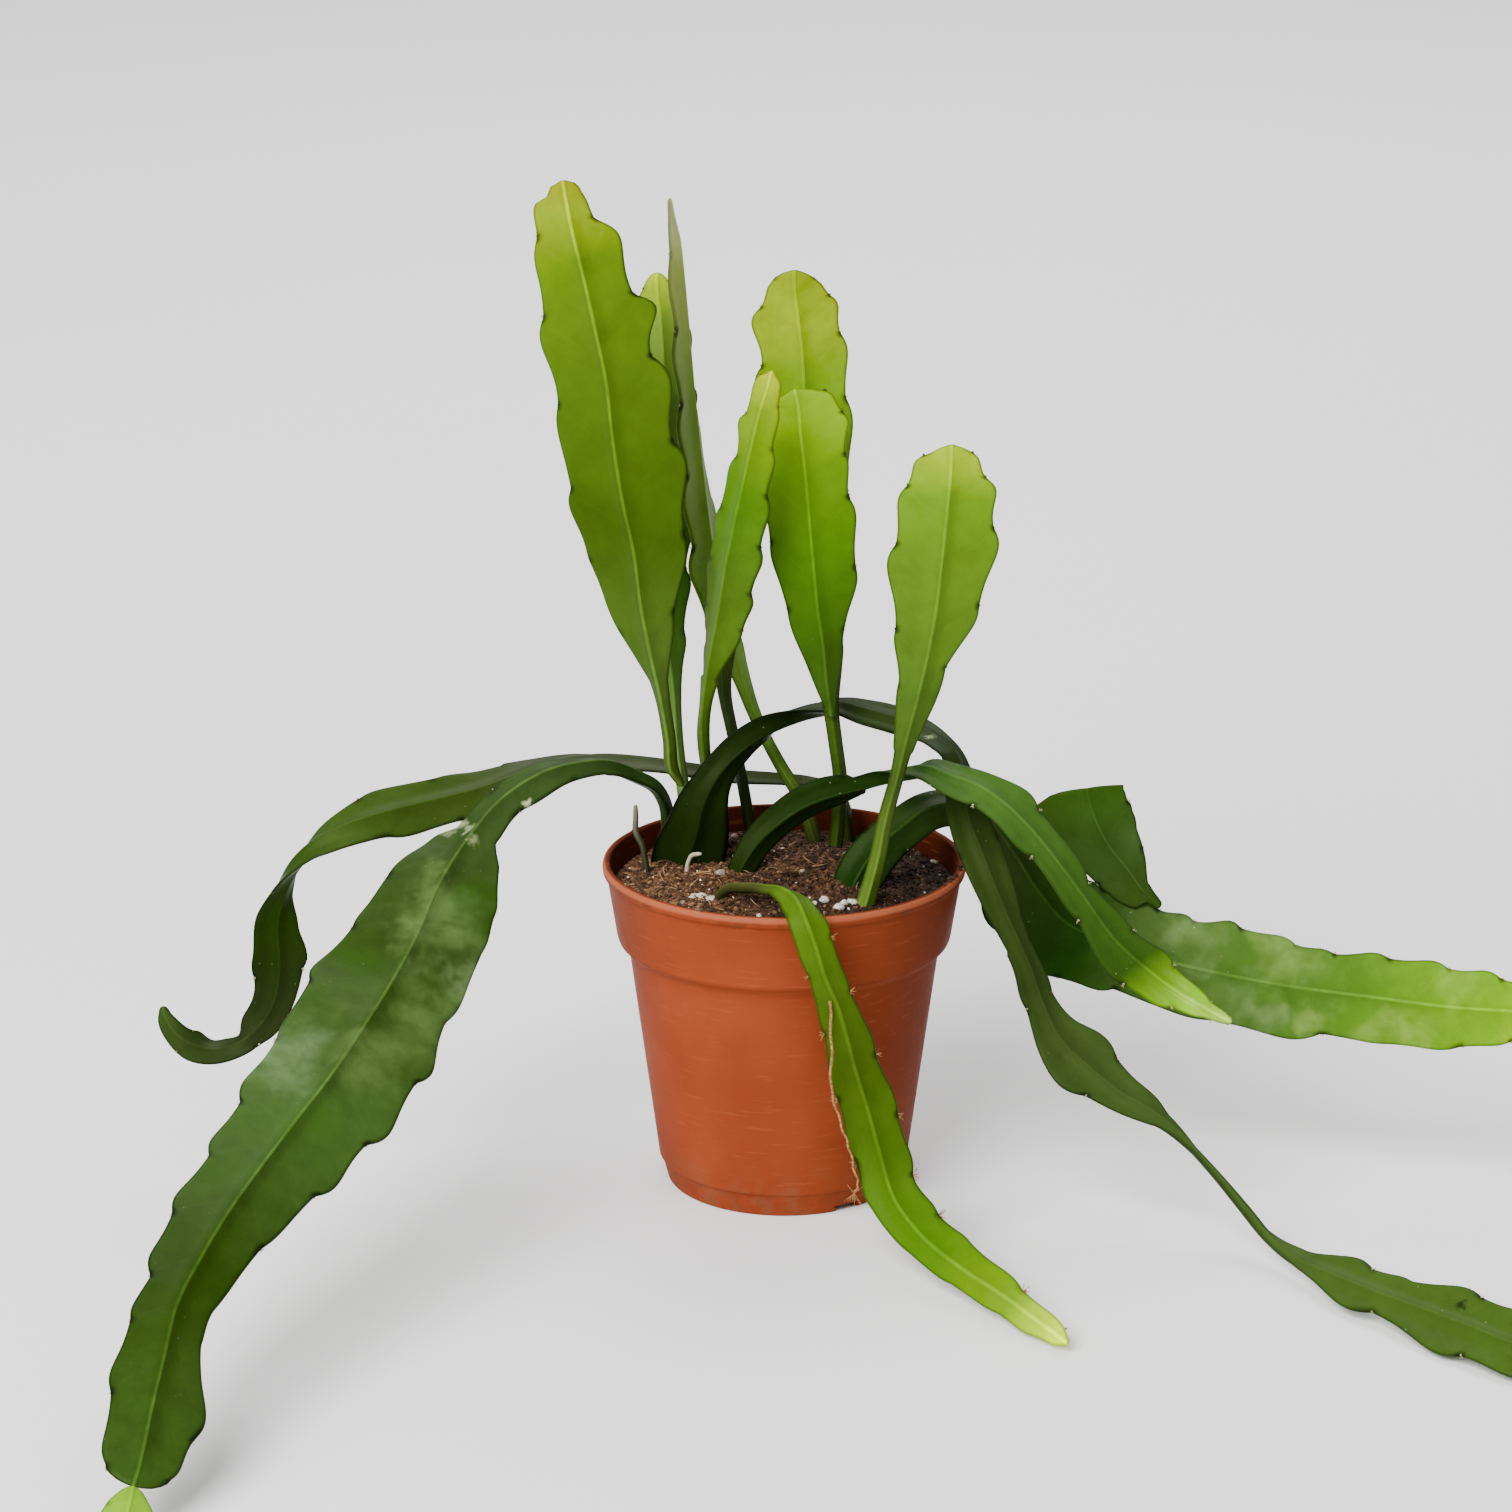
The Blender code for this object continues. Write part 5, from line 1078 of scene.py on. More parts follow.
class Paint:
    """A material under construction."""

    def __init__(self, name, **uniform):
        self.material = bpy.data.materials.new(name)
        self.material.use_nodes = True
        self.tree = self.material.node_tree
        self.shader = self.tree.nodes["Principled BSDF"]
        for key, value in uniform.items():
            self.shader.inputs[key.replace("_", " ")].default_value = value

    def node(self, kind, settings=None, values=None, output=0):
        """A node with its settings and the values of its sockets, of which one output is given back."""
        made = self.tree.nodes.new(kind)
        for key, value in (settings or {}).items():
            if key == "stops":
                ramp = made.color_ramp
                while len(ramp.elements) < len(value):
                    ramp.elements.new(1.0)
                for element, (place, colour) in zip(ramp.elements, value):
                    element.position = place
                    element.color = (*colour, 1.0)
            else:
                setattr(made, key, value)
        for key, value in (values or {}).items():
            if isinstance(value, Value):
                self.tree.links.new(value.socket, made.inputs[key])
            else:
                made.inputs[key].default_value = value
        return Value(self, made.outputs[output])

    def vector(self, operation, *values, output=0):
        """Arithmetic on places or colours."""
        settings = {"operation": operation}
        return self.node("ShaderNodeVectorMath", settings, dict(enumerate(values)), output)

    def number(self, name):
        """A number that the mesh carries at its points."""
        return self.node("ShaderNodeAttribute", {"attribute_name": name}, output="Fac")

    def place(self):
        """Where the point is on the object, in metres."""
        return self.node("ShaderNodeTexCoord", output="Object")

    def along(self, axis):
        """How far along an axis the point is, in millimetres."""
        return self.node("ShaderNodeSeparateXYZ", values={0: self.place()}, output="XYZ".index(axis)) / MM

    def noise(self, size, detail=3.0, roughness=0.55, where=None, distortion=0.0, output=0):
        """Smooth noise of about 0.2 to 0.8, with that grain size in millimetres."""
        values = {
            "Vector": where or self.place(),
            "Scale": 1.0 / (size * MM),
            "Detail": detail,
            "Roughness": roughness,
            "Distortion": distortion,
        }
        return self.node("ShaderNodeTexNoise", values=values, output=output)

    def dots(self, spacing, radius):
        """Small round dots at about that spacing, in millimetres."""
        values = {"Vector": self.place(), "Scale": 1.0 / (spacing * MM)}
        distance = self.node("ShaderNodeTexVoronoi", values=values, output="Distance")
        return distance.rises(radius / spacing, radius / spacing * 0.5)

    def shaken(self, size, reach):
        """The place, moved about by smooth noise: its grain size and how far, in millimetres."""
        far = reach * MM
        cloud = self.noise(size, roughness=0.5, output="Color")
        shift = self.vector("MULTIPLY_ADD", cloud, (2.0 * far,) * 3, (-far,) * 3)
        return self.vector("ADD", self.place(), shift)

    def near(self, point, radius, where=None):
        """1 close to a point and 0 beyond the radius."""
        centre = tuple(value * MM for value in point)
        distance = self.vector("DISTANCE", where or self.place(), centre, output="Value")
        return distance.rises(radius * MM, radius * MM * 0.2)

    def stops(self, value, tones):
        """A colour that follows a value through a list of (place, screen colour)."""
        tones = [(place, light(*tone)) for place, tone in tones]
        return self.node("ShaderNodeValToRGB", {"stops": tones}, {"Fac": value})

    def mix(self, share, one, other):
        """From one colour to the other as the share rises; a colour is linked or given as on a screen."""
        one, other = [(*light(*tone), 1.0) if isinstance(tone, tuple) else tone for tone in (one, other)]
        return self.node("ShaderNodeMix", {"data_type": "RGBA"}, {0: share, 6: one, 7: other}, 2)

    def dim(self, colour, amount):
        """The colour times a number."""
        return self.node("ShaderNodeVectorMath", {"operation": "SCALE"}, {0: colour, "Scale": amount})

    def finish(self, colour, roughness, height=None, depth=0.1):
        """Feeds the shader: colour, roughness, and relief whose height of 1 is a depth in millimetres."""
        self.tree.links.new(colour.socket, self.shader.inputs["Base Color"])
        self.tree.links.new(roughness.socket, self.shader.inputs["Roughness"])
        if height is not None:
            values = {"Strength": 1.0, "Distance": depth * MM, "Height": height}
            bump = self.node("ShaderNodeBump", values=values)
            self.tree.links.new(bump.socket, self.shader.inputs["Normal"])
        return self.material


def skin(name, tones, back=None, rib=1.35, rib_width=0.75, edge=0.5, gloss=0.42, shine=0.06,
         mottle=0.46, veins=0.05, specks=0.0, sheen_and_dark_patches=(), sheen_streaks=(), spots=()):
    """Waxy green skin: tones from foot to tip, a pale midrib, dark margins, faint veins and darker
    patches, with painted sheen, painted glints and painted shade.
    """
    paint = Paint(name, Specular_IOR_Level=shine, Specular_Tint=(0.85, 1.0, 0.45, 1.0))
    sideways, share, inset, spread, leaf, turn = [
        paint.number(key) for key in ("across_mm", "share", "inset_mm", "spread", "leaf", "turn")
    ]
    broad = paint.noise(30.0, 2.0)
    patch = paint.noise(7.0, 4.0, 0.6, distortion=0.4)
    grain = paint.noise(0.9, 2.0)
    colour = paint.stops(share + (broad - 0.5) * 0.1, tones)
    # Back faces take darker tones: painted shade on the shaded underside.
    if back:
        colour = paint.mix(paint.number("front"), paint.stops(share, back), colour)
    shade = (patch - 0.5) * mottle + (broad - 0.5) * 0.25 + (grain - 0.5) * 0.1 + 1.0

    vein_turn = abs((turn + (1.0 - spread) * 0.55).fraction() - 0.5)
    vein = vein_turn.rises(0.45, 0.495) * spread.rises(0.15, 0.35) * spread.rises(0.95, 0.75) * leaf
    pad = vein_turn.rises(0.48, 0.2) * leaf
    shade = shade + vein * veins + (pad - 0.5) * 0.05
    across = abs(sideways)
    line = across.rises(rib_width, rib_width * 0.3) * (patch.rises(0.25, 0.7) * 0.4 + 0.6)
    # Painted shade in the groove beside the midrib, which the relief also sinks.
    groove = across.rises(2.4, 0.9) * across.rises(rib_width * 0.6, rib_width)
    shade = shade * (line * (rib - 1.0) + 1.0) * (1.0 - groove * 0.07)
    corner = abs(turn.fraction() - 0.5).rises(0.4, 0.48) * inset.rises(2.3, 0.3) * leaf
    rim = inset.rises(1.0, 0.1)
    shade = shade * (1.0 - corner * 0.72) * (1.0 - rim * (1.0 - edge))
    colour = paint.dim(colour, shade)

    # Pale patches are painted sheen; dark patches darken the tone.
    drift = paint.shaken(16.0, 22.0) if sheen_and_dark_patches else None
    for point, radius, tone, strength in sheen_and_dark_patches:
        cloud = patch.rises(0.2, 0.75) * 0.6 + 0.4
        colour = paint.mix(paint.near(point, radius, drift) * cloud * strength, colour, tone)
    # Painted sheen in fine streaks along the stem.
    for start, end, strength, tone in sheen_streaks:
        along = paint.node("ShaderNodeCombineXYZ", values={0: sideways * MM, 1: share * SHEEN_STREAK_REACH})
        fine = paint.noise(2.0, 3.0, 0.6, where=along).rises(0.42, 0.72)
        zone = share.rises(start, start + 0.08) * fine * spread.rises(1.0, 0.8)
        colour = paint.mix(zone * share.rises(end, end - 0.02) * strength, colour, tone)
    if specks:
        dots = paint.dots(3.6, 0.3) * paint.noise(11.0, 2.0).rises(0.5, 0.62)
        colour = paint.mix(dots * specks, colour, (190, 196, 160))
    ragged = paint.shaken(2.5, 3.0) if spots else None
    for point, radius, tone, strength in spots:
        colour = paint.mix(paint.near(point, radius, ragged) * strength, colour, tone)
    scar = paint.dots(19.0, 0.45) * paint.noise(15.0, 2.0).rises(0.54, 0.62)
    colour = paint.mix(scar * 0.6, colour, (104, 88, 44))
    roughness = (patch - 0.5) * 0.16 + (grain - 0.5) * 0.08 + gloss
    height = patch * 0.6 + grain * 0.16 + pad * 0.2 - vein * 0.1 - scar * 0.4 - groove * 0.25 + line * 0.4
    return paint.finish(colour, roughness, height, 0.25)


def pot_plastic():
    """Terracotta-coloured plastic: satin, lightly scuffed, dusty at its foot, stained at its lip; with
    painted shade on its right side, far left edge, inner wall and under the collar, and a painted
    highlight on the lip's edge.
    """
    paint = Paint("pot_plastic", Specular_IOR_Level=0.02)
    height = paint.along("Z")
    side = paint.along("X")
    level = paint.vector("MULTIPLY", paint.place(), (1.0, 1.0, 0.0))
    radius = paint.vector("LENGTH", level, output=1) / MM
    broad = paint.noise(40.0, 2.0)
    cloud = paint.noise(9.0, 4.0, 0.6)
    grain = paint.noise(0.6, 2.0)
    dust = height.rises(22.0, 3.0) * cloud.rises(0.42, 0.62)
    # The inner wall above the soil, which the layers below darken as painted shade.
    inside = (radius - (height - SOIL_EDGE) * 0.155).rises(57.2, 56.8) * height.rises(98.0, 101.0)
    specks = paint.dots(8.0, 0.3) * paint.noise(20.0, 2.0).rises(0.5, 0.65)
    squeezed = paint.vector("MULTIPLY", paint.place(), (0.18, 0.18, 2.4))
    marks = paint.noise(2.2, 3.0, where=squeezed).rises(0.6, 0.68)
    colour = paint.mix(broad.rises(0.3, 0.7), (128, 53, 27), (138, 61, 32))
    colour = paint.dim(colour, (cloud - 0.5) * 0.14 + (grain - 0.5) * 0.08 + 1.0)
    # Painted shade: darker towards the right side and at the far left edge, as the light falls from the
    # left.
    painted_side_shade = side.rises(2.0, 60.0) * 0.62 + side.rises(-38.0, -60.0) * 0.6
    layers = [
        (painted_side_shade * (cloud * 0.3 + 0.85), (70, 30, 14)),
        (dust * 0.35, (112, 84, 60)),
        (height.rises(9.5, 7.6) * paint.noise(5.0, 3.0).rises(0.4, 0.55) * 0.16, (80, 38, 20)),
        (height.rises(105.5, 108.0) * paint.noise(6.0, 4.0).rises(0.5, 0.6) * 0.4, (74, 42, 24)),
        # A painted highlight along the outer edge of the lip.
        (height.rises(108.6, 109.8) * radius.rises(58.8, 59.4) * 0.5, (182, 104, 72)),
        # Painted shade on the inner wall above the soil.
        (inside * (height.rises(POT_HEIGHT, 103.0) * 0.3 + 0.65), (58, 24, 12)),
        # Painted shade in the step under the collar.
        (height.rises(83.6, 84.4) * height.rises(86.0, 85.0) * 0.3, (90, 34, 14)),
        (paint.near((-26.5, -49.4, 110.0), 4.2) * cloud.rises(0.38, 0.5) * 0.75, (170, 150, 118)),
        (specks * 0.6, (60, 32, 18)),
        (marks * 0.16, (176, 96, 60)),
    ]
    for share, tone in layers:
        colour = paint.mix(share, colour, tone)
    roughness = (cloud - 0.5) * 0.2 + dust * 0.2 + marks * 0.08 + 0.5
    return paint.finish(colour, roughness, cloud * 0.5 + grain * 0.16 - specks * 0.5, 0.12)


def painted_side_light(paint):
    """Painted light and shade on the soil: paler on the lit left of the mound, darker on the shaded
    right.
    """
    side = paint.along("X")
    return side.rises(5.0, -45.0) * 1.2 - side.rises(12.0, 50.0) * 0.6 + 1.0


def peat():
    """Dark peat, browner and paler by the crumb."""
    paint = Paint("peat_ground", Specular_IOR_Level=0.15)
    cloud = paint.noise(11.0, 3.0)
    crumb = paint.noise(1.7, 4.0, 0.65)
    fleck = paint.noise(0.7, 2.0)
    tones = [(0.25, (24, 15, 8)), (0.45, (54, 34, 20)), (0.6, (88, 60, 36)), (0.8, (128, 94, 62))]
    colour = paint.stops(crumb + (cloud - 0.5) * 0.35, tones)
    colour = paint.mix(fleck.rises(0.64, 0.72) * 0.5, colour, (140, 110, 74))
    # Painted light and shade across the soil.
    colour = paint.dim(colour, painted_side_light(paint))
    return paint.finish(colour, (crumb - 0.5) * 0.3 + 0.8, crumb * 1.0 + fleck * 0.35, 1.2)


def crumb_paint(name, tones):
    """Crumbs, fibres or grains whose tone changes from one to the next."""
    paint = Paint(name, Specular_IOR_Level=0.15)
    colour = paint.stops(paint.noise(1.5, 2.0, 0.7), tones)
    fine = paint.noise(0.35, 2.0)
    # Painted light and shade across the crumbs.
    colour = paint.dim(colour, ((fine - 0.5) * 0.5 + 1.0) * painted_side_light(paint))
    return paint.finish(colour, (fine - 0.5) * 0.2 + 0.82, fine, 0.15)


def grain_paint(name, tone, dark, dullness=0.7):
    """Pale mineral grains or dry tissue: one tone with darker pits."""
    paint = Paint(name, Specular_IOR_Level=0.35)
    pits = paint.noise(0.8, 4.0, 0.65)
    colour = paint.mix(pits.rises(0.42, 0.62), dark, tone)
    return paint.finish(colour, (pits - 0.5) * 0.2 + dullness, pits, 0.25)


def floor_paint():
    """A plain pale surface with the faintest change of tone."""
    paint = Paint("pale_floor", Specular_IOR_Level=0.1)
    tone = paint.noise(300.0, 2.0)
    values = {0: tone, 6: (*FLOOR_TONES[0], 1.0), 7: (*FLOOR_TONES[1], 1.0)}
    colour = paint.node("ShaderNodeMix", {"data_type": "RGBA"}, values, 2)
    return paint.finish(colour, (tone - 0.5) * 0.05 + 0.9)


left_bud = margin_point(ARCHING_RIGHT, ARCHING_RIGHT_FORM, LEFT_TALL_BUD, BUD_GAP)
blunt_bud = margin_point(REACHING_RIGHT, REACHING_RIGHT_FORM, DARK_BLUNT_BUD, BUD_GAP)
shoot_bud = tip_point(HANGING_LEFT, SHOOT_GAP)
LEFT_TALL.insert(0, (*left_bud, 1.2, (-0.2, -1, 0)))
DARK_BLUNT.insert(0, (*blunt_bud, 1.4, (0.1, -1, 0.1)))
YOUNG_SHOOT.insert(0, (*shoot_bud, 2.0, (0.2, -0.6, 0.75)))

# Patches on two broad stems: place, radius, tone and strength; the pale ones are painted sheen, the dark
# ones darken the tone
REACHING_SHEEN_AND_DARK_PATCHES = [
    ((136, 6, 81), 14, (112, 138, 82), 0.4), ((126, 6, 78), 10, (112, 136, 82), 0.38),
    ((165, 1, 80), 14, (132, 162, 80), 0.38), ((156, -7, 61), 14, (116, 142, 86), 0.54),
    ((176, -11, 59), 13, (146, 176, 88), 0.4), ((145, -4, 64), 12, (88, 112, 58), 0.44),
    ((204, -16, 56), 13, (146, 174, 76), 0.38), ((222, -12, 73), 13, (146, 176, 70), 0.32),
    ((150, 0, 74), 10, (48, 84, 14), 0.44), ((170, -5, 71), 12, (60, 98, 12), 0.44),
    ((190, -10, 66), 12, (72, 112, 14), 0.38),
]
HANGING_SHEEN_AND_DARK_PATCHES = [
    ((-111, -42, 103), 20, (82, 108, 56), 0.85), ((-116, -31, 109), 13, (78, 104, 50), 0.6),
    ((-100, -57, 86), 15, (104, 124, 80), 0.9), ((-113, -68, 84), 18, (80, 106, 52), 0.7),
    ((-158, -100, 81), 24, (90, 114, 72), 0.85), ((-124, -90, 77), 20, (80, 104, 50), 0.7),
    ((-112, -16, 121), 11, (26, 52, 2), 0.8), ((-99, -34, 106), 13, (36, 68, 4), 0.75),
    ((-136, -58, 97), 17, (38, 68, 8), 0.75), ((-140, -80, 90), 13, (40, 70, 12), 0.5),
    ((-146, -120, 68), 16, (46, 78, 14), 0.5), ((-178, -150, 62), 18, (40, 70, 8), 0.5),
]

# Each stem: node, stations, form, slot, whether it buds on another, tufts on its margins, and its skin
STEMS = [
    (
        "stem_arching_right", ARCHING_RIGHT, ARCHING_RIGHT_FORM, "old_stem", False, "pale",
        dict(
            tones=[
                (0.0, (18, 34, 4)), (0.15, (24, 38, 8)), (0.23, (52, 72, 46)), (0.4, (54, 76, 44)),
                (0.65, (64, 86, 56)), (0.85, (88, 110, 60)), (1.0, (96, 122, 70)),
            ],
            # The darker back tones are painted shade on the underside of the arch.
            back=[
                (0.0, (18, 34, 4)), (0.3, (32, 48, 14)), (0.45, (42, 58, 20)), (0.6, (52, 70, 28)),
                (1.0, (54, 80, 22)),
            ],
            rib=1.1, rib_width=0.6, specks=0.3,
            spots=[
                ((207.9, -136.5, 13.2), 2.4, (20, 26, 10), 0.9),
                ((47.7, 7.8, 150.5), 2.2, (150, 160, 120), 0.7),
            ],
        ),
    ),
    (
        "stem_arching_centre", ARCHING_CENTRE, ARCHING_CENTRE_FORM, "old_stem", False, "pale",
        dict(
            tones=[
                (0.0, (22, 36, 4)), (0.35, (28, 52, 14)), (0.5, (56, 88, 30)), (0.84, (42, 68, 16)),
                (0.93, (128, 184, 4)), (1.0, (172, 192, 80)),
            ],
            # The pale streaks near the tip are painted sheen.
            rib=1.5, specks=0.4, sheen_streaks=[(0.86, 1.02, 0.5, (166, 190, 96))],
        ),
    ),
    (
        "stem_reaching_right", REACHING_RIGHT, REACHING_RIGHT_FORM, "grown_stem", False, "pale",
        dict(
            tones=[
                (0.0, (10, 40, 4)), (0.25, (40, 56, 20)), (0.42, (20, 52, 4)), (0.52, (56, 82, 30)),
                (0.7, (68, 104, 28)), (0.9, (104, 152, 4)), (1.0, (154, 156, 4)),
            ],
            rib=1.7, mottle=0.7, specks=0.5, sheen_and_dark_patches=REACHING_SHEEN_AND_DARK_PATCHES,
        ),
    ),
    (
        "stem_hanging_left", HANGING_LEFT, HANGING_LEFT_FORM, "grown_stem", False, "pale",
        dict(
            tones=[
                (0.0, (26, 46, 8)), (0.2, (44, 64, 26)), (0.4, (38, 58, 14)), (0.6, (52, 78, 28)),
                (0.8, (32, 54, 4)), (1.0, (44, 68, 20)),
            ],
            rib=2.15, rib_width=0.75, mottle=0.7, specks=0.15, sheen_and_dark_patches=HANGING_SHEEN_AND_DARK_PATCHES,
            # These pale spots are painted glints.
            spots=[
                ((-106, -6, 125), 3.2, (136, 148, 106), 0.8),
                ((-103, -10, 124.5), 3, (128, 140, 100), 0.8),
                ((-109.5, -8.5, 123), 3, (116, 130, 88), 0.7),
                ((-101.5, -15, 122), 2.6, (130, 144, 96), 0.7),
                ((-84, -4.4, 131.4), 2, (180, 190, 140), 0.8),
            ],
        ),
    ),
    (
        "stem_curling_left", CURLING_LEFT, CURLING_LEFT_FORM, "grown_stem", False, "pale",
        dict(
            tones=[
                (0.0, (40, 48, 4)), (0.38, (52, 60, 38)), (0.48, (46, 64, 20)), (0.62, (48, 70, 20)),
                (0.76, (24, 44, 4)), (0.9, (34, 42, 18)), (1.0, (48, 70, 24)),
            ],
            rib=1.25, rib_width=0.6, specks=0.15,
        ),
    ),
    (
        "stem_trailing_front", TRAILING_FRONT, TRAILING_FRONT_FORM, "young_stem", False, "bristly",
        dict(
            tones=[
                (0.0, (62, 60, 28)), (0.12, (62, 66, 28)), (0.19, (72, 104, 14)), (0.5, (52, 74, 8)),
                (0.75, (68, 108, 4)), (0.9, (100, 136, 4)), (0.97, (192, 226, 4)), (1.0, (204, 232, 4)),
            ],
            rib=1.5, rib_width=0.9, mottle=0.4, edge=0.5,
        ),
    ),
    (
        "stem_left_tall", LEFT_TALL, LEFT_TALL_FORM, "grown_stem", True, "dark",
        dict(
            tones=[
                (0.0, (68, 90, 28)), (0.2, (64, 88, 30)), (0.45, (48, 72, 4)), (0.7, (64, 92, 8)),
                (0.88, (80, 108, 6)), (0.96, (118, 140, 4)), (1.0, (128, 132, 4)),
            ],
            rib=2.0, rib_width=0.8, mottle=0.45,
        ),
    ),
    (
        "stem_back_edge_on", BACK_EDGE_ON, dict(rib=3.6, phase=0.1), "grown_stem", False, "pale",
        dict(
            tones=[
                (0.0, (30, 16, 10)), (0.3, (108, 148, 54)), (0.7, (90, 116, 30)), (0.9, (132, 144, 68)),
                (1.0, (166, 176, 118)),
            ],
            rib=1.15,
        ),
    ),
    (
        "stem_back_left", BACK_LEFT, dict(phase=0.6, pitch=21.0), "young_stem", False, "dark",
        dict(
            tones=[
                (0.0, (112, 144, 64)), (0.5, (38, 78, 14)), (0.8, (68, 90, 36)), (0.92, (120, 156, 46)),
                (1.0, (176, 200, 4)),
            ],
            rib=1.2,
        ),
    ),
    (
        "stem_hidden_back", HIDDEN_BACK, dict(), "grown_stem", False, "pale",
        dict(tones=[(0.0, (40, 46, 14)), (0.5, (44, 64, 18)), (1.0, (78, 96, 30))], rib=1.1),
    ),
    (
        "stem_centre_leaning", CENTRE_LEANING, CENTRE_LEANING_FORM, "young_stem", False, "dark",
        dict(
            tones=[
                (0.0, (60, 84, 20)), (0.35, (74, 102, 22)), (0.6, (64, 94, 18)), (0.8, (64, 104, 4)),
                (0.93, (110, 138, 4)), (1.0, (166, 178, 4)),
            ],
            rib=1.3,
        ),
    ),
    (
        "stem_back_centre", BACK_CENTRE, BACK_CENTRE_FORM, "young_stem", False, "dark",
        dict(
            tones=[
                (0.0, (54, 74, 22)), (0.35, (56, 78, 20)), (0.6, (98, 122, 2)), (0.8, (110, 148, 16)),
                (0.93, (132, 154, 4)), (1.0, (126, 144, 4)),
            ],
            rib=1.25, mottle=0.6, specks=0.2,
        ),
    ),
    (
        "stem_front_centre", FRONT_CENTRE, FRONT_CENTRE_FORM, "young_stem", True, "dark",
        dict(
            tones=[
                (0.0, (56, 84, 24)), (0.2, (46, 74, 12)), (0.5, (68, 110, 4)), (0.75, (92, 136, 4)),
                (0.92, (126, 162, 4)), (1.0, (122, 158, 4)),
            ],
            rib=1.45,
        ),
    ),
    (
        "stem_right_upright", RIGHT_UPRIGHT, RIGHT_UPRIGHT_FORM, "young_stem", False, "dark",
        dict(
            tones=[
                (0.0, (96, 126, 42)), (0.3, (56, 76, 24)), (0.5, (60, 88, 24)), (0.72, (78, 110, 20)),
                (0.88, (92, 132, 16)), (0.97, (146, 172, 4)), (1.0, (140, 174, 4)),
            ],
            rib=1.35,
        ),
    ),
    (
        "stem_dark_blunt", DARK_BLUNT, DARK_BLUNT_FORM, "old_stem", True, "pale",
        dict(tones=[(0.0, (44, 66, 18)), (0.5, (44, 68, 24)), (1.0, (44, 72, 16))], rib=1.1),
    ),
    (
        "young_shoot_left", YOUNG_SHOOT, dict(rib=3.0, edge=1.4, pitch=14.0, depth=1.2), "young_stem",
        True, "pale",
        dict(tones=[(0.0, (110, 156, 18)), (0.6, (124, 168, 20)), (1.0, (140, 190, 24))], rib=1.15),
    ),
]

# Tufts: slot, cushion size, bristles to a tuft, their length and width, and their pale and dark tones
TUFTS = {
    "pale": ("old_stem", 0.55, 5, 1.1, 0.1, (190, 180, 150), (120, 104, 76)),
    "dark": ("young_stem", 0.6, 4, 0.9, 0.1, (84, 58, 44), (38, 26, 22)),
    "bristly": ("young_stem", 0.5, 9, 2.6, 0.13, (170, 130, 70), (112, 72, 34)),
}

spots = {kind: [] for kind in TUFTS}
for node, stations, form, slot, budding, tuft, look in STEMS:
    material = skin(node + "_skin", **look)
    show(node + "_fine", stem_mesh(node + "_fine", stations, form, budding), material, slot, node)
    for point, way, leaf in notches(stations, form):
        spots[tuft].append((point, way, 0.5 + 0.5 * leaf))

tufts = tuft_tree()
for number, (kind, (slot, cushion, bristles, length, width, tone, dark)) in enumerate(TUFTS.items()):
    values = {
        "Bristles": bristles,
        "Bristle length": length * MM,
        "Bristle width": width * MM,
        "Cushion": cushion * MM,
        "Seed": TUFT_SEED + number,
    }
    hair = grain_paint(kind + "_tuft", tone, dark)
    points = point_mesh("tuft_points_" + kind, spots[kind])
    grow("margin_tufts_" + kind, points, tufts, values, hair)

dry_tones = [(0.0, (46, 44, 32)), (0.5, (70, 74, 54)), (1.0, (110, 110, 92))]
dry = skin("dry_shoot_skin", dry_tones, rib=1.1, edge=0.8, gloss=0.65)
dry_form = dict(rib=2.0, edge=1.2)
dry_mesh = stem_mesh("dry_shoot_fine", DRY_SHOOT, dry_form, False)
show("dry_shoot_fine", dry_mesh, dry, "dry_shoot", "dry_shoot")

pale_tissue = grain_paint("pale_tissue", (214, 206, 180), (168, 156, 128), 0.6)
root_line = smooth_curve(WHITE_ROOT, 8)
root_tip = len(root_line) - 1
root_radii = np.interp(np.arange(root_tip + 1), [0, root_tip - 3, root_tip], [0.75, 0.72, 0.5])
root_mesh = tube_mesh("white_root_fine", root_line, root_radii)
show("white_root_fine", root_mesh, pale_tissue, "pale_root", "white_root")

# A dried strand clings to the left margin of the trailing stem and ends in a tuft of root hairs.
STRAND = [
    (14.6, -69.8, 87), (15.2, -70.4, 71), (15.4, -70.4, 56), (18.2, -70.6, 46), (20.6, -71.6, 39),
    (22.6, -73, 31), (23.8, -75, 26), (22.6, -76.4, 24),
]
STRAND_WOBBLE = 0.25
ROOT_HAIRS = 14
ROOT_HAIR_SEED = 5
strand_line = smooth_curve(STRAND, 8)
wobble = np.sin(np.arange(len(strand_line))[:, None] * np.array([0.9, 1.3, 0.4])) * STRAND_WOBBLE
strand = [tube_mesh("strand", strand_line + wobble, np.linspace(0.5, 0.34, len(strand_line)), 6)]
draw = np.random.default_rng(ROOT_HAIR_SEED)
for k in range(ROOT_HAIRS):
    way = draw.normal(0.0, 1.0, 3) * np.array([1.0, 0.5, 1.0]) + np.array([0.1, -0.5, -0.6])
    way = way / np.linalg.norm(way)
    reach = draw.uniform(1.6, 4.2)
    bend = draw.normal(0.0, 0.5, 3)
    line = [np.array(STRAND[-1]) + way * reach * u + bend * u * u for u in np.linspace(0.0, 1.0, 6)]
    strand.append(tube_mesh("hair", line, np.linspace(0.2, 0.06, 6), 5))
dry_tissue = grain_paint("dry_tissue", (176, 128, 72), (120, 80, 40), 0.7)
show("dried_strand", join_meshes("dried_strand", strand), dry_tissue, "pale_root")

make_pot(pot_plastic())
soil_top = make_soil(peat())

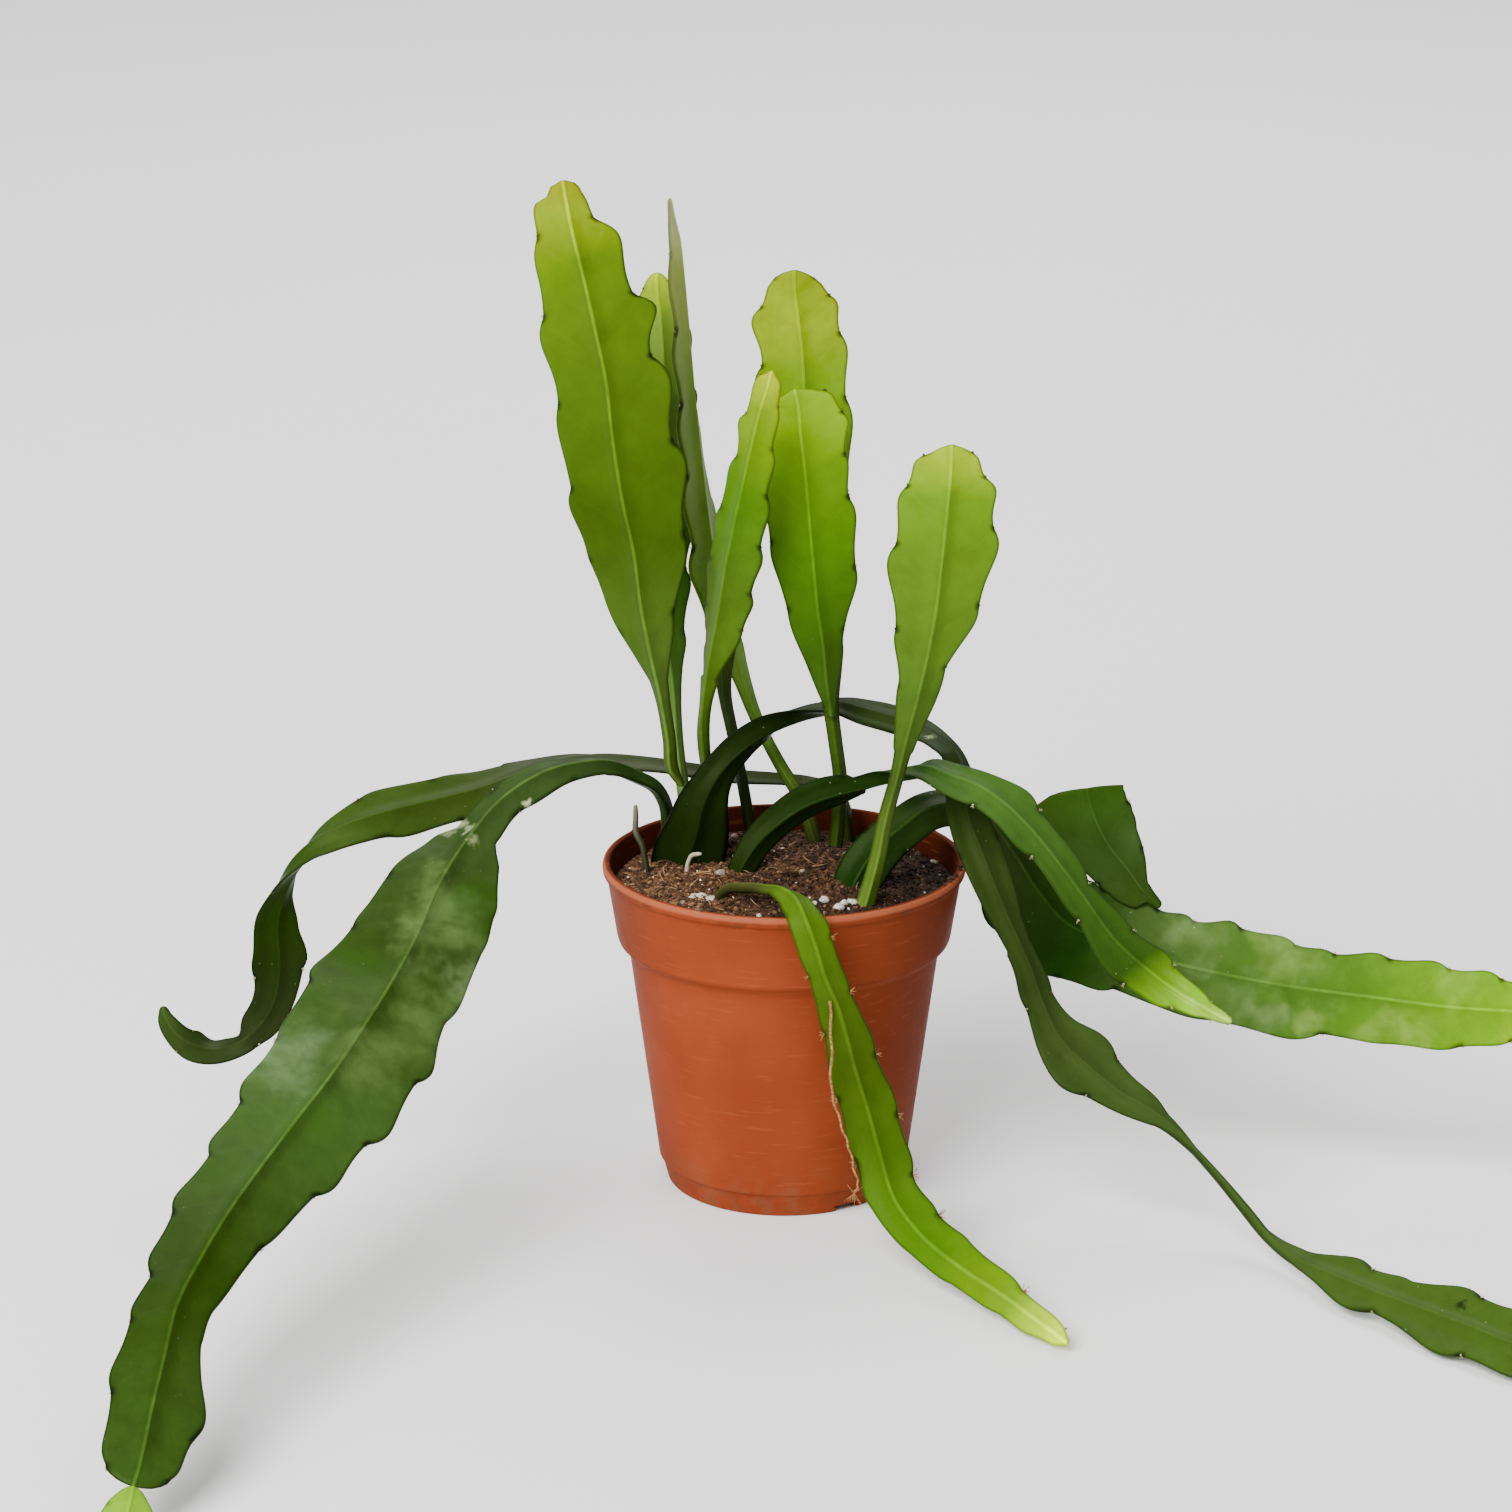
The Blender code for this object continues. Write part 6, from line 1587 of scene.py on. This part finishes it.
# Litter on the soil: name, number to a square metre, two sizes, seed and tones
CRUMBS = [
    (
        "dark_crumbs", 190000, 0.45, 1.5, 3,
        [(0.3, (20, 14, 10)), (0.5, (44, 30, 21)), (0.7, (80, 58, 41))],
    ),
    (
        "brown_crumbs", 90000, 0.3, 1.1, 4,
        [(0.3, (56, 38, 26)), (0.5, (92, 66, 46)), (0.7, (138, 106, 76))],
    ),
    (
        "mineral_grains", 9000, 0.3, 0.8, 6,
        [(0.3, (150, 140, 124)), (0.5, (196, 190, 176)), (0.7, (226, 222, 212))],
    ),
]
FIBRES = [
    (
        "tan_fibres", 16000, 5.0, 0.16, 8,
        [(0.3, (80, 56, 34)), (0.5, (120, 90, 60)), (0.7, (160, 130, 92))],
    ),
    ("dark_fibres", 30000, 6.0, 0.2, 12, [(0.3, (30, 20, 14)), (0.5, (58, 40, 26)), (0.7, (92, 66, 42))]),
]
LITTER = [(crumb_tree(), "Smallest", "Largest", CRUMBS), (fibre_tree(), "Length", "Thickness", FIBRES)]
for tree, one, other, kinds in LITTER:
    for name, density, first, second, seed, tones in kinds:
        values = {"Density": density, one: first * MM, other: second * MM, "Seed": seed}
        grow(name, soil_top.copy(), tree, values, crumb_paint(name, tones))

# Larger mineral grains on the soil, by tone: each with its place and its half width and height
GRAIN_ROUGHNESS = 0.5
GRAIN_SUNK = 0.45
GRAINS = [
    (-27, -19, 2.2, 1.5, "white"), (-24, -21, 1.8, 1.3, "white"), (-29.5, -17.5, 1.3, 1.1, "white"),
    (-21, 2, 2.0, 1.2, "grey"), (-3, -15, 1.0, 0.8, "white"), (13, -27, 1.7, 1.2, "white"),
    (18, -30.5, 1.9, 1.3, "white"), (22, -24.6, 2.1, 1.4, "white"), (19.5, -27.5, 1.3, 1.0, "white"),
    (10, -31, 1.0, 0.8, "white"), (-17, 45, 1.6, 1.2, "grey"), (-39, 38, 1.6, 1.2, "grey"),
    (50, 22, 1.7, 1.2, "grey"), (-8, -37, 0.9, 0.7, "white"), (-33, -24, 1.1, 0.9, "grey"),
    (33, -33, 1.0, 0.8, "grey"), (6, -6, 1.0, 0.8, "grey"),
]
grain_tones = {
    "white": grain_paint("white_grain", (232, 228, 216), (176, 166, 146)),
    "grey": grain_paint("grey_grain", (172, 152, 136), (120, 100, 86)),
}
for tone, surface in grain_tones.items():
    lumps = []
    for number, (x, y, wide, high, kind) in enumerate(GRAINS):
        if kind == tone:
            place = (x, y, crumbly_height(x, y) + high * GRAIN_SUNK)
            lumps.append(lump_mesh("grain", place, (wide, wide * 0.8, high), GRAIN_ROUGHNESS, number + 1))
    show(tone + "_grains", join_meshes(tone + "_grains", lumps), surface, "peat")

# Crumbs of soil that lie on the lip: angle round the pot in degrees, radius, half size
LIP_DIRT_SEED = 30
LIP_DIRT = [
    (-8, 58.4, 0.9), (-11, 58.8, 0.6), (-17.6, 58.6, 1.0), (-20.8, 58.2, 1.2), (-23, 58.7, 0.6),
    (-27, 58.4, 0.5), (-118.2, 58.5, 0.7), (-116.5, 58.9, 0.5), (-134, 58.5, 0.5), (150, 58.4, 0.6),
]
dirt = []
for number, (angle, radius, size) in enumerate(LIP_DIRT):
    turn = math.radians(angle)
    place = (radius * math.cos(turn), radius * math.sin(turn), POT_HEIGHT + size * 0.3)
    dirt.append(lump_mesh("dirt", place, (size, size, size * 0.6), 0.6, number + LIP_DIRT_SEED))
lip_surface = crumb_paint("lip_crumbs", [(0.3, (40, 28, 20)), (0.5, (74, 54, 38)), (0.7, (118, 92, 66))])
show("dirt_on_lip", join_meshes("dirt_on_lip", dirt), lip_surface, "peat")

corners = [(x * FLOOR_REACH, y * FLOOR_REACH, 0) for x, y in ((-1, -1), (1, -1), (1, 1), (-1, 1))]
floor_mesh = bpy.data.meshes.new("floor")
floor_mesh.from_pydata(corners, [], [(0, 1, 2, 3)])
dress(floor_mesh, floor_paint())
new_object("floor", floor_mesh)

world = bpy.data.worlds.new("studio")
world.use_nodes = True
sky = world.node_tree.nodes["Background"].inputs
sky["Color"].default_value = (1.0, 1.0, 1.0, 1.0)
sky["Strength"].default_value = WORLD_STRENGTH
bpy.context.scene.world = world

for name, place, aim, size, power in SOFT_BOXES:
    lamp = bpy.data.lights.new(name, "AREA")
    lamp.shape = "SQUARE"
    lamp.size = size
    lamp.energy = power
    box = new_object(name, lamp)
    box.location = place
    box.rotation_euler = (Vector(aim) - Vector(place)).to_track_quat("-Z", "Y").to_euler()

camera = new_object("camera", bpy.data.cameras.new("camera"))
camera.data.lens = CAMERA_LENS
camera.data.sensor_width = SENSOR_WIDTH
camera.location = CAMERA_PLACE
camera.rotation_euler = (math.pi / 2 - CAMERA_DOWN, 0.0, CAMERA_YAW)
bpy.context.scene.camera = camera
